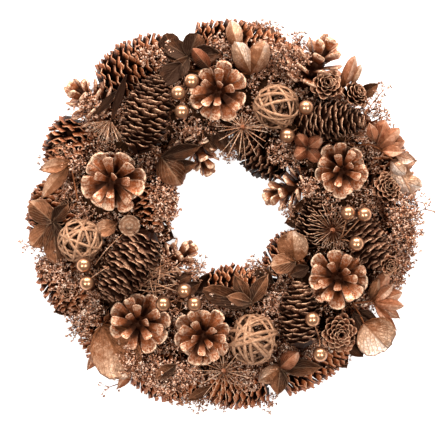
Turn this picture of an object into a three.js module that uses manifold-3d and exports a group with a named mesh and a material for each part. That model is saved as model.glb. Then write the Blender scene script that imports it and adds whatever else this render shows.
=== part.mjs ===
// A pinecone wreath, lying on the flat back of its straw ring.
// Millimetres, +Z up. The ring lies on z = 0, and +Y is the wreath's top as it hangs.
// Every cone, ball, spray and leaf is glued on, so each is its own solid, a hair clear of its neighbours.
import * as THREE from 'three';
import { mergeVertices } from 'three/addons/utils/BufferGeometryUtils.js';
import Module from 'manifold-3d';

const wasm = await Module();
wasm.setup();

// Driving dimensions.
const RING_RADIUS = 104;
const RING_WIDTH = 52;
const RING_HEIGHT = 34;
const RING_SIDES = 28;
const GLUE_GAP = 0.35;
const OUTER_CONE_ROOT = 128; // where the outer cones meet the ring
const ROW_PITCH = 12;
const INNER_CONE_RADIUS = 18;
const PEARL_RADIUS = 6.4;
const WIRE_RADIUS = 0.8;
const TWIG_RADIUS = 1.1;
const STALK_RADIUS = 1.5;
const HOOPS = 5;
const HOOP_THICKNESS = 1.3;
const HOOP_STEP = 1.1;
const LEAF_THICKNESS = 1;
const HEAD_RADIUS = 2.4;
const LEAF_SHARE = 0.43; // of the turn between a leaf and the next
const WIDEST_SHARE = 80; // degrees
const SCALE_THICKNESS = 2.2;
const FLORET_THICKNESS = 2.4;
const BRISTLE_THICKNESS = 1.3;
const GOLDEN_ANGLE = 137.508;

const { degToRad } = THREE.MathUtils;

// Materials, one for each finish.
function finish(color, roughness, metalness = 0) {
	return new THREE.MeshStandardMaterial({ color, roughness, metalness });
}
const straw = finish(0x8a6a42, 0.95);
const openScale = finish(0x9a6544, 0.55, 0.25);
const spruceScale = finish(0x6b4029, 0.6, 0.2);
const larchScale = finish(0x7d4f36, 0.6, 0.2);
const vine = finish(0xb98560, 0.7, 0.1);
const pearl = finish(0xd9a066, 0.2, 0.9);
const bristle = finish(0x9b6238, 0.6, 0.2);
const dryLeaf = finish(0x9c6c4c, 0.55, 0.3);
const floret = finish(0xb58468, 0.85, 0.05);

// Solids and geometries.

// A closed geometry as a solid.
function solidOf(geometry) {
	const bare = geometry.clone();
	bare.deleteAttribute('normal');
	bare.deleteAttribute('uv');
	const merged = mergeVertices(bare, 1e-4);
	const vertProperties = merged.attributes.position.array;
	const triVerts = new Uint32Array(merged.index.array);
	return new wasm.Manifold(new wasm.Mesh({ numProp: 3, vertProperties, triVerts }));
}

function geometryOf(solid) {
	const mesh = solid.getMesh();
	const geometry = new THREE.BufferGeometry();
	geometry.setAttribute('position', new THREE.BufferAttribute(mesh.vertProperties, 3));
	geometry.setIndex(new THREE.BufferAttribute(mesh.triVerts, 1));
	geometry.computeVertexNormals();
	return geometry;
}

const fuse = (geometries) => geometries.map(solidOf).reduce((whole, piece) => whole.add(piece));

// A lathe about +Z from [radius, height] pairs.
function turned(profile, sides) {
	const points = profile.map(([radius, height]) => new THREE.Vector2(radius, height));
	return new THREE.LatheGeometry(points, sides).rotateX(Math.PI / 2);
}

// A straight rod between two points.
function rod(from, to, radius, sides = 3) {
	const a = new THREE.Vector3(...from);
	const b = new THREE.Vector3(...to);
	const along = b.clone().sub(a);
	const upright = new THREE.Vector3(0, 1, 0);
	const turn = new THREE.Quaternion().setFromUnitVectors(upright, along.clone().normalize());
	return new THREE.CylinderGeometry(radius, radius, along.length(), sides)
		.applyQuaternion(turn)
		.translate(...a.lerp(b, 0.5).toArray());
}

const bentRod = (points, radius) => points.slice(1).map((point, i) => rod(points[i], point, radius));

// Local +Z turned to an azimuth and an elevation, in degrees, at a place.
function pose(at, azimuth = 0, elevation = 90, roll = 0) {
	return new THREE.Matrix4()
		.makeTranslation(...at)
		.multiply(new THREE.Matrix4().makeRotationZ(degToRad(azimuth)))
		.multiply(new THREE.Matrix4().makeRotationY(degToRad(90 - elevation)))
		.multiply(new THREE.Matrix4().makeRotationZ(degToRad(roll)));
}

const onCircle = (radius, degrees, z) => [
	radius * Math.cos(degToRad(degrees)),
	radius * Math.sin(degToRad(degrees)),
	z,
];

// Corners and faces of a closed skin, gathered one by one.
function skin() {
	const positions = [];
	const index = [];
	const corner = (x, y, z) => positions.push(x, y, z) / 3 - 1;
	return {
		corner,
		polar: (radius, angle, z) => corner(radius * Math.cos(angle), radius * Math.sin(angle), z),
		faces: (...corners) => index.push(...corners),
		quad: (a, b, c, d) => index.push(a, b, c, a, c, d),
		geometry() {
			const geometry = new THREE.BufferGeometry();
			geometry.setAttribute('position', new THREE.Float32BufferAttribute(positions, 3));
			return geometry.setIndex(index);
		},
	};
}

// The forms of the pieces.

// The swell of a closed cone from its stem end, 0, to its tip, 1, as a share of its greatest radius.
const swell = (t) => Math.sin(Math.PI * (0.2 + 0.7 * t)) ** 0.7;

// A closed cone whose blunt scales lap towards the tip. Each row is a ring of hollows and one of scale ends.
function lappedCone({ length, radius, perTurn, rows, hollow = 0.62, lap = 1.2 }) {
	const { polar, faces, geometry } = skin();
	const step = (2 * Math.PI) / perTurn;
	const pitch = length / rows;
	const round = (ring, j) => ring[(j + perTurn) % perTurn];
	const stem = polar(0, 0, -length / 2);
	let hollows = [];
	let ends = [];
	for (let row = 0; row < rows; row++) {
		const turn = (row * step) / 2;
		const z = -length / 2 + row * pitch;
		const next = [];
		for (let j = 0; j < perTurn; j++) {
			next.push(polar(radius * hollow * swell(row / rows), turn + (j + 0.5) * step, z));
		}
		for (let j = 0; j < perTurn; j++) {
			if (row === 0) faces(stem, next[j], round(next, j - 1));
			else {
				// This row's hollows lie half a step round from the last row's.
				const [left, right] = ends[j];
				const [after] = round(ends, j + 1);
				const before = round(next, j - 1);
				faces(left, right, before, right, after, next[j], right, next[j], before);
			}
		}
		hollows = next;
		const reach = radius * swell((row + 0.5) / rows);
		ends = hollows.map((_, j) => [
			polar(reach, turn + (j - 0.25) * step, z + lap * pitch),
			polar(reach, turn + (j + 0.25) * step, z + lap * pitch),
		]);
		for (let j = 0; j < perTurn; j++) {
			const before = round(hollows, j - 1);
			const [left, right] = ends[j];
			faces(before, hollows[j], right, before, right, left, hollows[j], round(ends, j + 1)[0], right);
		}
	}
	const tip = polar(0, 0, length / 2 + 0.6 * pitch);
	for (let j = 0; j < perTurn; j++) {
		const [left, right] = ends[j];
		faces(left, right, tip, right, round(ends, j + 1)[0], tip);
	}
	return geometry();
}

// Whorls of blunt tongues round a stem, each whorl turned half a step from the last.
// A whorl has its root radius and height, its tip radius and rise, and its width as a share of the step.
function whorled(perTurn, whorls, peak, thickness = SCALE_THICKNESS) {
	const { polar, faces, quad, geometry } = skin();
	const step = (2 * Math.PI) / perTurn;
	const round = (ring, j) => ring[(j + perTurn) % perTurn];
	const foot = polar(0, 0, whorls[0].z - thickness / 2);
	let upper = null;
	for (const [row, { root, z, reach, rise, width }] of whorls.entries()) {
		const turn = (row * step) / 2;
		const ring = (height) => {
			const made = [];
			for (let j = 0; j < perTurn; j++) made.push(polar(root, turn + (j + 0.5) * step, height));
			return made;
		};
		const lower = ring(z - thickness / 2);
		for (let j = 0; j < perTurn; j++) {
			if (upper === null) faces(foot, lower[j], round(lower, j - 1));
			else {
				faces(upper[j], round(upper, j + 1), lower[j]);
				faces(round(upper, j + 1), round(lower, j + 1), lower[j]);
			}
		}
		upper = ring(z + thickness / 2);
		const tilt = Math.atan2(rise, reach - root);
		const tips = lower.map((_, j) => {
			const corners = [];
			for (const [side, half] of [[-1, -1], [1, -1], [1, 1], [-1, 1]]) {
				const out = reach - (half * Math.sin(tilt) * thickness) / 2;
				const up = z + rise + (half * Math.cos(tilt) * thickness) / 2;
				corners.push(polar(out, turn + (j + (side * width) / 2) * step, up));
			}
			return corners;
		});
		for (let j = 0; j < perTurn; j++) {
			const [left, right, rightTop, leftTop] = tips[j];
			const [after, , , afterTop] = round(tips, j + 1);
			quad(round(lower, j - 1), lower[j], right, left);
			quad(round(upper, j - 1), leftTop, rightTop, upper[j]);
			quad(left, right, rightTop, leftTop);
			quad(lower[j], upper[j], rightTop, right);
			quad(lower[j], after, afterTop, upper[j]);
		}
	}
	const top = polar(0, 0, peak);
	for (let j = 0; j < perTurn; j++) faces(upper[j], round(upper, j + 1), top);
	return geometry();
}

// An open pine cone from its stem end: flat scales below, and upright ones that close round the tip.
function openCone({ radius, height, perTurn = 7, whorlCount = 4 }) {
	const whorls = [
		{ root: radius * 0.3, z: height * 0.22, reach: radius, rise: -height * 0.02, width: 0.74 },
		{ root: radius * 0.3, z: height * 0.34, reach: radius * 0.94, rise: height * 0.14, width: 0.72 },
		{ root: radius * 0.26, z: height * 0.47, reach: radius * 0.72, rise: height * 0.3, width: 0.72 },
		{ root: radius * 0.16, z: height * 0.6, reach: radius * 0.4, rise: height * 0.34, width: 0.6 },
	];
	const stem = rod([0, 0, 0], [0, 0, height * 0.24], radius * 0.2, 6);
	const peak = height * (whorlCount === 4 ? 0.76 : 0.7);
	return fuse([whorled(perTurn, whorls.slice(0, whorlCount), peak), stem]);
}

// A larch cone: short cupped scales, like a rose.
function larchCone({ radius, height }) {
	const whorls = [
		{ root: radius * 0.5, z: height * 0.1, reach: radius, rise: height * 0.22, width: 0.8 },
		{ root: radius * 0.45, z: height * 0.3, reach: radius * 0.8, rise: height * 0.34, width: 0.8 },
		{ root: radius * 0.3, z: height * 0.52, reach: radius * 0.5, rise: height * 0.4, width: 0.8 },
	];
	return solidOf(whorled(6, whorls, height * 0.8));
}

// A ball of bent vine: hoops turned each to its own side, the later ones inside the first.
function vineBall(radius) {
	const parts = [];
	for (let i = 0; i < HOOPS; i++) {
		const lean = Math.acos(1 - (i + 0.5) / HOOPS);
		parts.push(
			new THREE.TorusGeometry(radius - HOOP_THICKNESS - i * HOOP_STEP, HOOP_THICKNESS, 3, 11)
				.rotateX(lean)
				.rotateZ(degToRad(i * GOLDEN_ANGLE)),
		);
	}
	return fuse(parts);
}

// Leaves round the head of a twig, in one skin. A leaf without a tip is a plain side of the head.
function leafWhorl(head, leaves) {
	const { corner, polar, faces, quad, geometry } = skin();
	const sides = leaves.map((leaf) => {
		const [x, y, z] = leaf.tip.map((value, k) => value - head[k]);
		return { ...leaf, azimuth: Math.atan2(y, x), length: Math.hypot(x, y), rise: z };
	});
	sides.sort((a, b) => a.azimuth - b.azimuth);
	const headCorners = sides.map(({ azimuth }, j) => {
		const after = sides[(j + 1) % sides.length].azimuth + (j + 1 === sides.length ? 2 * Math.PI : 0);
		const angle = (azimuth + after) / 2;
		return [polar(HEAD_RADIUS, angle, -HEAD_RADIUS / 2), polar(HEAD_RADIUS, angle, HEAD_RADIUS / 2)];
	});
	const foot = corner(0, 0, -HEAD_RADIUS / 2);
	const top = corner(0, 0, HEAD_RADIUS / 2);
	// Each leaf keeps to its own share of the turn round the head, so that no two cross.
	const share = (j, hand) => {
		const beside = sides[(j + hand + sides.length) % sides.length].azimuth;
		const gap = (hand * (beside - sides[j].azimuth) + 4 * Math.PI) % (2 * Math.PI);
		return Math.min(LEAF_SHARE * gap, degToRad(WIDEST_SHARE));
	};
	for (const [j, side] of sides.entries()) {
		const { azimuth, length, rise, width = 0, fold = 0.25, arch = 0.1, round = false } = side;
		const [lowLeft, topLeft] = headCorners[(j + sides.length - 1) % sides.length];
		const [lowRight, topRight] = headCorners[j];
		faces(foot, lowRight, lowLeft, top, topLeft, topRight);
		if (width === 0) {
			quad(lowLeft, lowRight, topRight, topLeft);
			continue;
		}
		const along = new THREE.Vector3(Math.cos(azimuth), Math.sin(azimuth), 0);
		const place = (t, hand, half, layer) => {
			const out = along.clone().multiplyScalar(t * length);
			const y = hand * Math.min((half * width) / 2, t * length * Math.tan(share(j, hand)));
			const height = rise * t + arch * length * Math.sin(Math.PI * t) + Math.abs(y) * fold;
			return corner(out.x - along.y * y, out.y + along.x * y, height + (layer - 0.5) * LEAF_THICKNESS);
		};
		const stations = (round ? [[0.28, 0.86], [0.76, 0.84]] : [[0.5, 1]]).map(([t, half]) =>
			[-1, 0, 1].map((hand) => [place(t, hand, half, 0), place(t, hand, half, 1)]),
		);
		const tip = [place(1, 0, 0, 0), place(1, 0, 0, 1)];
		const [first] = stations;
		faces(lowLeft, lowRight, first[1][0]);
		faces(lowLeft, first[1][0], first[0][0]);
		faces(lowRight, first[2][0], first[1][0]);
		faces(topLeft, first[1][1], topRight);
		faces(topLeft, first[0][1], first[1][1]);
		faces(topRight, first[1][1], first[2][1]);
		quad(lowLeft, first[0][0], first[0][1], topLeft);
		quad(lowRight, topRight, first[2][1], first[2][0]);
		for (const [s, far] of stations.slice(1).entries()) {
			const near = stations[s];
			for (const k of [0, 1]) {
				quad(near[k][0], near[k + 1][0], far[k + 1][0], far[k][0]);
				quad(near[k][1], far[k][1], far[k + 1][1], near[k + 1][1]);
			}
			quad(near[0][0], far[0][0], far[0][1], near[0][1]);
			quad(near[2][0], near[2][1], far[2][1], far[2][0]);
		}
		const last = stations.at(-1);
		faces(last[0][0], last[1][0], tip[0], last[1][0], last[2][0], tip[0]);
		faces(last[0][1], tip[1], last[1][1], last[1][1], tip[1], last[2][1]);
		quad(last[0][0], tip[0], tip[1], last[0][1]);
		quad(last[2][0], last[2][1], tip[1], tip[0]);
	}
	return geometry().translate(...head);
}

// Where everything is glued.

const wreath = new THREE.Group();
wreath.name = 'pinecone_wreath';
const keepouts = [];

// Adds one piece. What lies within a hair of a piece already there is cut away, and loose scraps are dropped.
function glue(name, form, matrix, material, room = null) {
	let solid = form.transform(matrix.elements);
	for (const other of keepouts) solid = solid.subtract(other);
	const [largest] = solid.decompose().sort((a, b) => b.volume() - a.volume());
	keepouts.push(...(room ?? [roomOf(largest)]));
	const geometry = geometryOf(largest).applyMatrix4(matrix.clone().invert());
	const mesh = new THREE.Mesh(geometry, material);
	mesh.name = name;
	mesh.applyMatrix4(matrix);
	wreath.add(mesh);
}

// The room that a solid piece takes: its hull, grown from its middle by the glue gap on every side.
function roomOf(solid) {
	const hull = solid.hull();
	const { min, max } = hull.boundingBox();
	const middle = min.map((low, k) => (low + max[k]) / 2);
	const grow = min.map((low, k) => 1 + (3.4 * GLUE_GAP) / (max[k] - low));
	return hull.translate(middle.map((v) => -v)).scale(grow).translate(middle);
}

// The straw ring: flat behind and rounded in front.
function ringProfile(grow) {
	const half = RING_WIDTH / 2 + grow;
	const top = RING_HEIGHT + grow;
	const outline = [
		[-0.85, 0], [0.85, 0], [1, 0.3], [0.9, 0.7], [0.48, 1],
		[-0.48, 1], [-0.9, 0.7], [-1, 0.3], [-0.85, 0],
	];
	return outline.map(([across, up]) => [RING_RADIUS + across * half, up ? up * top : -grow]);
}
const atOrigin = pose([0, 0, 0]);
const ringRoom = solidOf(turned(ringProfile(GLUE_GAP), RING_SIDES));
glue('straw_ring', solidOf(turned(ringProfile(0), RING_SIDES)), atOrigin, straw, [ringRoom]);

// Open pine cones that face the front.
const facingCones = [
	{ name: 'open_cone_1', at: [-95, 28, 33], azimuth: 240, elevation: 76, radius: 27.5, height: 38 },
	{ name: 'open_cone_2', at: [-5, 105, 33], azimuth: 200, elevation: 84, radius: 27, height: 38 },
	{ name: 'open_cone_3', at: [98, 39, 33], azimuth: 270, elevation: 85, radius: 24.5, height: 36 },
	{ name: 'open_cone_4', at: [95, -54, 33], azimuth: 100, elevation: 86, radius: 27.5, height: 38 },
	{ name: 'open_cone_5', at: [-73, -92, 33], azimuth: 160, elevation: 84, radius: 27.5, height: 37 },
	{ name: 'open_cone_6', at: [-20, -102, 34], azimuth: 300, elevation: 86, radius: 25.5, height: 38 },
];
for (const [i, { name, at, azimuth, elevation, ...size }] of facingCones.entries()) {
	glue(name, openCone(size), pose(at, azimuth, elevation, i * 40), openScale);
}

// Vine balls.
const balls = [
	{ name: 'vine_ball_1', at: [-123.5, -22, 49], radius: 19.5 },
	{ name: 'vine_ball_2', at: [42.5, 91.5, 50.2], radius: 19.8 },
	{ name: 'vine_ball_3', at: [23, -105, 52.4], radius: 22 },
];
for (const [i, { name, at, radius }] of balls.entries()) {
	glue(name, vineBall(radius), pose(at, i * 70, 70), vine);
}

// Spruce cones in front, on the ring's crown.
const frontCones = [
	{ name: 'spruce_cone_1', at: [-66, 88, 54.5], azimuth: 75, elevation: 4, length: 62, radius: 21 },
	{ name: 'spruce_cone_2', at: [91, 80, 50], azimuth: 358, elevation: 14, length: 56, radius: 16.5 },
	{ name: 'spruce_cone_3', at: [-84, -45, 54], azimuth: 236, elevation: 2, length: 66, radius: 21 },
	{ name: 'spruce_cone_4', at: [62, -82, 51.5], azimuth: 92, elevation: 2, length: 54, radius: 18 },
	{ name: 'spruce_cone_5', at: [120, -24, 49], azimuth: 304, elevation: 0, length: 54, radius: 17 },
];
for (const { name, at, azimuth, elevation, ...size } of frontCones) {
	const cone = lappedCone({ ...size, perTurn: 8, rows: 6 });
	glue(name, solidOf(cone), pose(at, azimuth, elevation), spruceScale);
}

// Spruce cones that lie end to end round the outside.
const outerCones = [
	{ angle: 120, length: 74, reach: 170.5 },
	{ angle: 157, length: 53, reach: 167.5 },
	{ angle: 178.5, length: 58, reach: 169.5 },
	{ angle: 203, length: 58, reach: 169.5 },
	{ angle: 226, length: 54, reach: 168.5 },
	{ angle: 250, length: 62, reach: 167.5 },
	{ angle: 273, length: 58, reach: 165.5 },
	{ angle: 302, length: 74, reach: 164.5 },
	{ angle: 345, length: 70, reach: 162.5 },
	{ angle: 20, length: 68, reach: 163.5 },
	{ angle: 84, length: 88, reach: 165.5 },
];
for (const [i, { angle, length, reach }] of outerCones.entries()) {
	const radius = (reach - OUTER_CONE_ROOT) / 2;
	const shape = { length, radius, perTurn: 6, rows: Math.round(length / ROW_PITCH) };
	const middle = onCircle(OUTER_CONE_ROOT + radius, angle, radius + GLUE_GAP);
	const place = pose(middle, angle + (i % 2 ? 90 : -90), 0, i * 17);
	glue(`outer_cone_${i + 1}`, solidOf(lappedCone(shape)), place, spruceScale);
}

// Spruce cones round the hole.
const innerCones = [
	{ angle: 60, length: 50, distance: 61, z: 26 },
	{ angle: 328, length: 46, distance: 63, z: 24 },
	{ angle: 277, length: 52, distance: 62, z: 24 },
	{ angle: 174, length: 52, distance: 62, z: 24 },
];
for (const [i, { angle, length, distance, z }] of innerCones.entries()) {
	const shape = { length, radius: INNER_CONE_RADIUS, perTurn: 7, rows: 5 };
	const place = pose(onCircle(distance, angle, z), angle + 90, 0, i * 23);
	glue(`inner_cone_${i + 1}`, solidOf(lappedCone(shape)), place, spruceScale);
}
const leaningCone = lappedCone({ length: 44, radius: 15, perTurn: 7, rows: 5 });
glue('inner_cone_5', solidOf(leaningCone), pose([74, -6, 42], 80, 18), spruceScale);

// Small larch cones.
const smallCones = [
	{ name: 'larch_cone_1', at: [138, 22, 31.5], azimuth: 60, elevation: 80, radius: 15, height: 24 },
	{ name: 'larch_cone_2', at: [96, -99, 32.4], azimuth: 300, elevation: 84, radius: 17.5, height: 28 },
];
for (const { name, at, azimuth, elevation, ...size } of smallCones) {
	glue(name, larchCone(size), pose(at, azimuth, elevation), larchScale);
}
// Two that have grown together.
const larchPair = [
	{ matrix: pose([84, 108, 42], 60, 78), radius: 14.5, height: 24 },
	{ matrix: pose([104, 98, 37], 36, 50), radius: 12.5, height: 24 },
].map(({ matrix, ...size }) => larchCone(size).transform(matrix.elements));
glue('larch_cone_pair', larchPair[0].add(larchPair[1]), atOrigin, larchScale);

// Open pine cones on their sides, pointing out of the wreath or into its hole.
const sideCones = [
	{ name: 'side_cone_1', at: [64, 107, 30], azimuth: 60, elevation: 22, radius: 25, height: 56 },
	{ name: 'side_cone_2', at: [-97, 82, 29], azimuth: 142, elevation: 18, radius: 22, height: 52 },
	{ name: 'side_cone_3', at: [77, 30, 27], azimuth: 200, elevation: 6, radius: 21, height: 50 },
	{ name: 'side_cone_4', at: [-33, 78, 26], azimuth: 294, elevation: 4, radius: 19, height: 50 },
	{ name: 'side_cone_5', at: [-68, -56, 26], azimuth: 36, elevation: 4, radius: 21, height: 54 },
];
for (const { name, at, azimuth, elevation, ...size } of sideCones) {
	glue(name, openCone({ ...size, perTurn: 6, whorlCount: 3 }), pose(at, azimuth, elevation), openScale);
}

// Pearls on wires that meet and go on down to the ring.
function pearlSpray({ pearls, joint, root }, grow = 0) {
	const bead = new THREE.OctahedronGeometry(1.4 + grow).translate(...joint);
	const parts = [rod(root, joint, WIRE_RADIUS + grow), bead];
	for (const at of pearls) {
		parts.push(rod(joint, at, WIRE_RADIUS + grow));
		parts.push(new THREE.SphereGeometry(PEARL_RADIUS + grow, 8, 5).translate(...at));
	}
	return parts;
}
const pearlSprays = [
	{
		pearls: [[-29, 112, 68], [-40, 102, 70], [-37, 86.5, 70]],
		joint: [-37, 97, 54],
		root: [-37, 98, 30],
	},
	{
		pearls: [[67, 90, 67], [51.5, 66.5, 61]],
		joint: [61, 74, 50],
		root: [62, 74, 28],
	},
	{
		pearls: [[102, 1.5, 72], [115.5, 0.5, 73], [109, -24, 72]],
		joint: [97, -20, 60],
		root: [93, -23, 30],
	},
	{
		pearls: [[-119, -42, 68], [-116.5, -57, 67]],
		joint: [-112, -52, 50],
		root: [-106, -60, 24],
	},
	{
		pearls: [[-52.5, -74.5, 69], [-35, -63.5, 66], [-26.5, -74.5, 68]],
		joint: [-42, -72, 52],
		root: [-45, -76, 28],
	},
	{
		pearls: [[72, -87, 75], [79, -117, 62]],
		joint: [79, -104, 54],
		root: [78, -100, 26],
	},
];
for (const [i, spray] of pearlSprays.entries()) {
	const room = pearlSpray(spray, 2 * GLUE_GAP).map(solidOf);
	glue(`pearl_spray_${i + 1}`, fuse(pearlSpray(spray)), atOrigin, pearl, room);
}

// Leaves on bent twigs. The leaves of a whorl start at its head and run to their tips.
const leafySprays = [
	// Left edge: dark leaves beside the first vine ball, and above them a pale leaf in two lobes.
	{
		name: 'leaf_spray_1',
		twigs: [[[-122, 14, 18], [-126, 12, 41], [-147, -6, 43.5]], [[-126, 12, 41], [-132, 45, 44]]],
		whorls: [
			{
				head: [-147, -6, 43.5],
				leaves: [
					{ tip: [-166, 11, 46], width: 19, round: true },
					{ tip: [-165, -27, 44], width: 18, round: true },
					{ tip: [-143, -41, 45], width: 20, round: true },
					{ tip: [-133, 10, 49], width: 13 },
				],
			},
			{
				head: [-132, 45, 44],
				leaves: [
					{ tip: [-159, 38, 45], width: 13 },
					{ tip: [-157, 13, 44], width: 14 },
					{ tip: [-122, 55, 44] },
				],
			},
		],
	},
	// Top: broad dark leaves on the left and pale ones on the right.
	{
		name: 'leaf_spray_2',
		twigs: [
			[[-34, 117, 18], [-33, 123, 35], [-32, 134, 46]],
			[[-33, 123, 35], [22, 120, 35], [21, 120, 44]],
		],
		whorls: [
			{
				head: [-32, 134, 46],
				leaves: [
					{ tip: [-52, 146, 43], width: 17, round: true },
					{ tip: [-24, 154, 42], width: 19, round: true },
					{ tip: [-4, 137, 45], width: 18 },
					{ tip: [-47, 112, 53], width: 15 },
				],
			},
			{
				head: [21, 120, 44],
				leaves: [
					{ tip: [8, 146, 56], width: 17, round: true },
					{ tip: [33, 146, 53], width: 19, round: true },
					{ tip: [22, 100, 44] },
				],
			},
			{
				head: [9.6, 142.8, 55.6],
				leaves: [
					{ tip: [4, 165, 45], width: 14, arch: 0.02 },
					{ tip: [0, 136, 54] },
					{ tip: [19, 137, 54] },
				],
			},
		],
	},
	// Inner top left.
	{
		name: 'leaf_spray_3',
		twigs: [[[-66, 56, 18], [-60, 52, 38], [-55, 49, 43]]],
		whorls: [
			{
				head: [-55, 49, 43],
				leaves: [
					{ tip: [-38, 26, 43], width: 24, round: true },
					{ tip: [-20, 59, 49], width: 14 },
					{ tip: [-60, 60, 43] },
				],
			},
		],
	},
	// Inner right.
	{
		name: 'leaf_spray_4',
		twigs: [[[70, -45, 18], [68, -43, 37], [59, -39, 44]]],
		whorls: [
			{
				head: [59, -39, 44],
				leaves: [
					{ tip: [56, -13, 50], width: 27, round: true },
					{ tip: [38, -44, 45], width: 18, round: true },
					{ tip: [66, -54, 44] },
				],
			},
		],
	},
	// Inner bottom.
	{
		name: 'leaf_spray_5',
		twigs: [[[22, -84, 18], [20, -76, 43]]],
		whorls: [
			{
				head: [20, -76, 43],
				leaves: [
					{ tip: [7, -50, 44], width: 13 },
					{ tip: [36, -50, 43], width: 14 },
					{ tip: [-20, -63, 46], width: 18, round: true },
					{ tip: [24, -88, 43] },
				],
			},
		],
	},
	// Bottom right: a large round leaf and a fan of pods.
	{
		name: 'leaf_spray_6',
		twigs: [[[101, -67, 18], [110, -75, 36], [117, -92, 44]], [[110, -75, 36], [124, -73, 43]]],
		whorls: [
			{
				head: [117, -92, 44],
				leaves: [
					{ tip: [138, -113, 46], width: 36, round: true },
					{ tip: [104, -82, 44] },
					{ tip: [124, -80, 44] },
				],
			},
			{
				head: [124, -73, 43],
				leaves: [
					{ tip: [137, -48, 46], width: 13 },
					{ tip: [149, -66, 45], width: 13 },
					{ tip: [148, -88, 42], width: 12 },
					{ tip: [112, -73, 44] },
				],
			},
		],
	},
	// Bottom.
	{
		name: 'leaf_spray_7',
		twigs: [[[46, -110, 18], [50, -119, 42], [46, -130, 44]]],
		whorls: [
			{
				head: [46, -130, 44],
				leaves: [
					{ tip: [60, -116, 53], width: 14, round: true },
					{ tip: [28, -141, 43], width: 14 },
					{ tip: [44, -153, 42], width: 16 },
					{ tip: [82, -129, 45], width: 15 },
				],
			},
		],
	},
	// Bottom left: one large leaf.
	{
		name: 'leaf_spray_8',
		twigs: [[[-94, -82, 18], [-100, -89, 39], [-105, -94, 43]]],
		whorls: [
			{
				head: [-105, -94, 43],
				leaves: [
					{ tip: [-82, -138, 43], width: 42, round: true },
					{ tip: [-90, -86, 43] },
					{ tip: [-120, -90, 43] },
				],
			},
		],
	},
	// Right edge: pods and papery husks, and a husk in four lobes above the open cone.
	{
		name: 'leaf_spray_9',
		twigs: [
			[[103, 56, 18], [111, 60, 38], [128, 60, 46], [142, 46, 45]],
			[[109, 59, 33.5], [99, 62.5, 36.5], [70, 59, 36], [69, 57, 44]],
		],
		whorls: [
			{
				head: [128, 60, 46],
				leaves: [
					{ tip: [134, 80, 50], width: 14 },
					{ tip: [151, 62, 48], width: 17 },
					{ tip: [112, 62, 48] },
				],
			},
			{
				head: [142, 46, 45],
				leaves: [
					{ tip: [162, 46, 46], width: 16 },
					{ tip: [158, 16, 44], width: 17 },
					{ tip: [128, 50, 46] },
				],
			},
			{
				head: [69, 57, 44],
				leaves: [
					{ tip: [80, 65, 53], width: 13 },
					{ tip: [60, 67, 53], width: 13 },
					{ tip: [59, 49, 53], width: 13 },
					{ tip: [78, 46, 53], width: 13 },
				],
			},
		],
	},
];
for (const { name, twigs, whorls } of leafySprays) {
	const stems = (grow) => twigs.flatMap((points) => bentRod(points, TWIG_RADIUS + grow)).map(solidOf);
	const heads = whorls.map(({ head, leaves }) => solidOf(leafWhorl(head, leaves)));
	const whole = [...stems(0), ...heads].reduce((sum, piece) => sum.add(piece));
	glue(name, whole, atOrigin, dryLeaf, [...stems(2 * GLUE_GAP), ...heads.map(roomOf)]);
}

// A poppy pod on its stalk, with a heart-shaped leaf beside it.
const podProfile = [[0, -8], [4, -7], [9, 0], [7.6, 4], [9.6, 6], [8.6, 7.6], [0, 6.4]];
const poppyPod = fuse([
	turned(podProfile, 9).translate(-81, -9, 58),
	...bentRod([[-90, -14, 28], [-84, -10, 46], [-81, -9, 54]], TWIG_RADIUS),
	leafWhorl([-86, -11, 40], [
		{ tip: [-110, -17, 50], width: 18 },
		{ tip: [-78, -20, 44] },
		{ tip: [-78, 0, 44] },
	]),
]);
glue('poppy_pod', poppyPod, atOrigin, dryLeaf);

// Clumps of dried florets.
const clumps = [
	{ name: 'floret_clump_1', at: [151, -1, 31.2], azimuth: 0, elevation: 72, radius: 20, height: 16 },
	{ name: 'floret_clump_2', at: [-50, -139, 35], azimuth: 250, elevation: 76, radius: 21, height: 16 },
];
for (const { name, at, azimuth, elevation, radius, height } of clumps) {
	const whorls = [
		{ root: radius * 0.7, z: height * 0.15, reach: radius, rise: 0, width: 0.4 },
		{ root: radius * 0.6, z: height * 0.5, reach: radius * 0.84, rise: height * 0.25, width: 0.4 },
		{ root: radius * 0.36, z: height * 0.8, reach: radius * 0.5, rise: height * 0.4, width: 0.5 },
	];
	const clump = whorled(6, whorls, height * 0.95, FLORET_THICKNESS);
	glue(name, solidOf(clump), pose(at, azimuth, elevation), floret);
}

// Dried seed heads: bristles that spread from a small hub on a stem.
const seedHeads = [
	{ name: 'seed_head_1', hub: [14, 74, 50], root: [14, 84, 24], reach: 36 },
	{ name: 'seed_head_2', hub: [-2, -132, 47], root: [-2, -119, 20], reach: 29 },
	{ name: 'seed_head_3', hub: [90, -13, 52], root: [90, -13, 28], reach: 20 },
];
for (const { name, hub, root, reach } of seedHeads) {
	const whorls = [
		{ root: 2.2, z: -1.6, reach, rise: -reach * 0.08, width: 0.04 },
		{ root: 2.2, z: 1.6, reach: reach * 0.86, rise: reach * 0.3, width: 0.045 },
	];
	const head = whorled(6, whorls, 3.4, BRISTLE_THICKNESS).translate(...hub);
	glue(name, fuse([head, rod(root, hub, STALK_RADIUS, 4)]), atOrigin, bristle);
}

// The origin is the middle of the whole outline, on the surface that the ring lies on.
const middle = new THREE.Box3().setFromObject(wreath, true).getCenter(new THREE.Vector3());
wreath.position.set(-middle.x, -middle.y, 0);

export default wreath;
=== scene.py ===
"""The pinecone wreath, dressed: scales, vine, pearls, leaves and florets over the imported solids."""
import math
import random

import bmesh
import bpy
import numpy as np
from mathutils import Matrix, Vector
from mathutils.bvhtree import BVHTree


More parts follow.
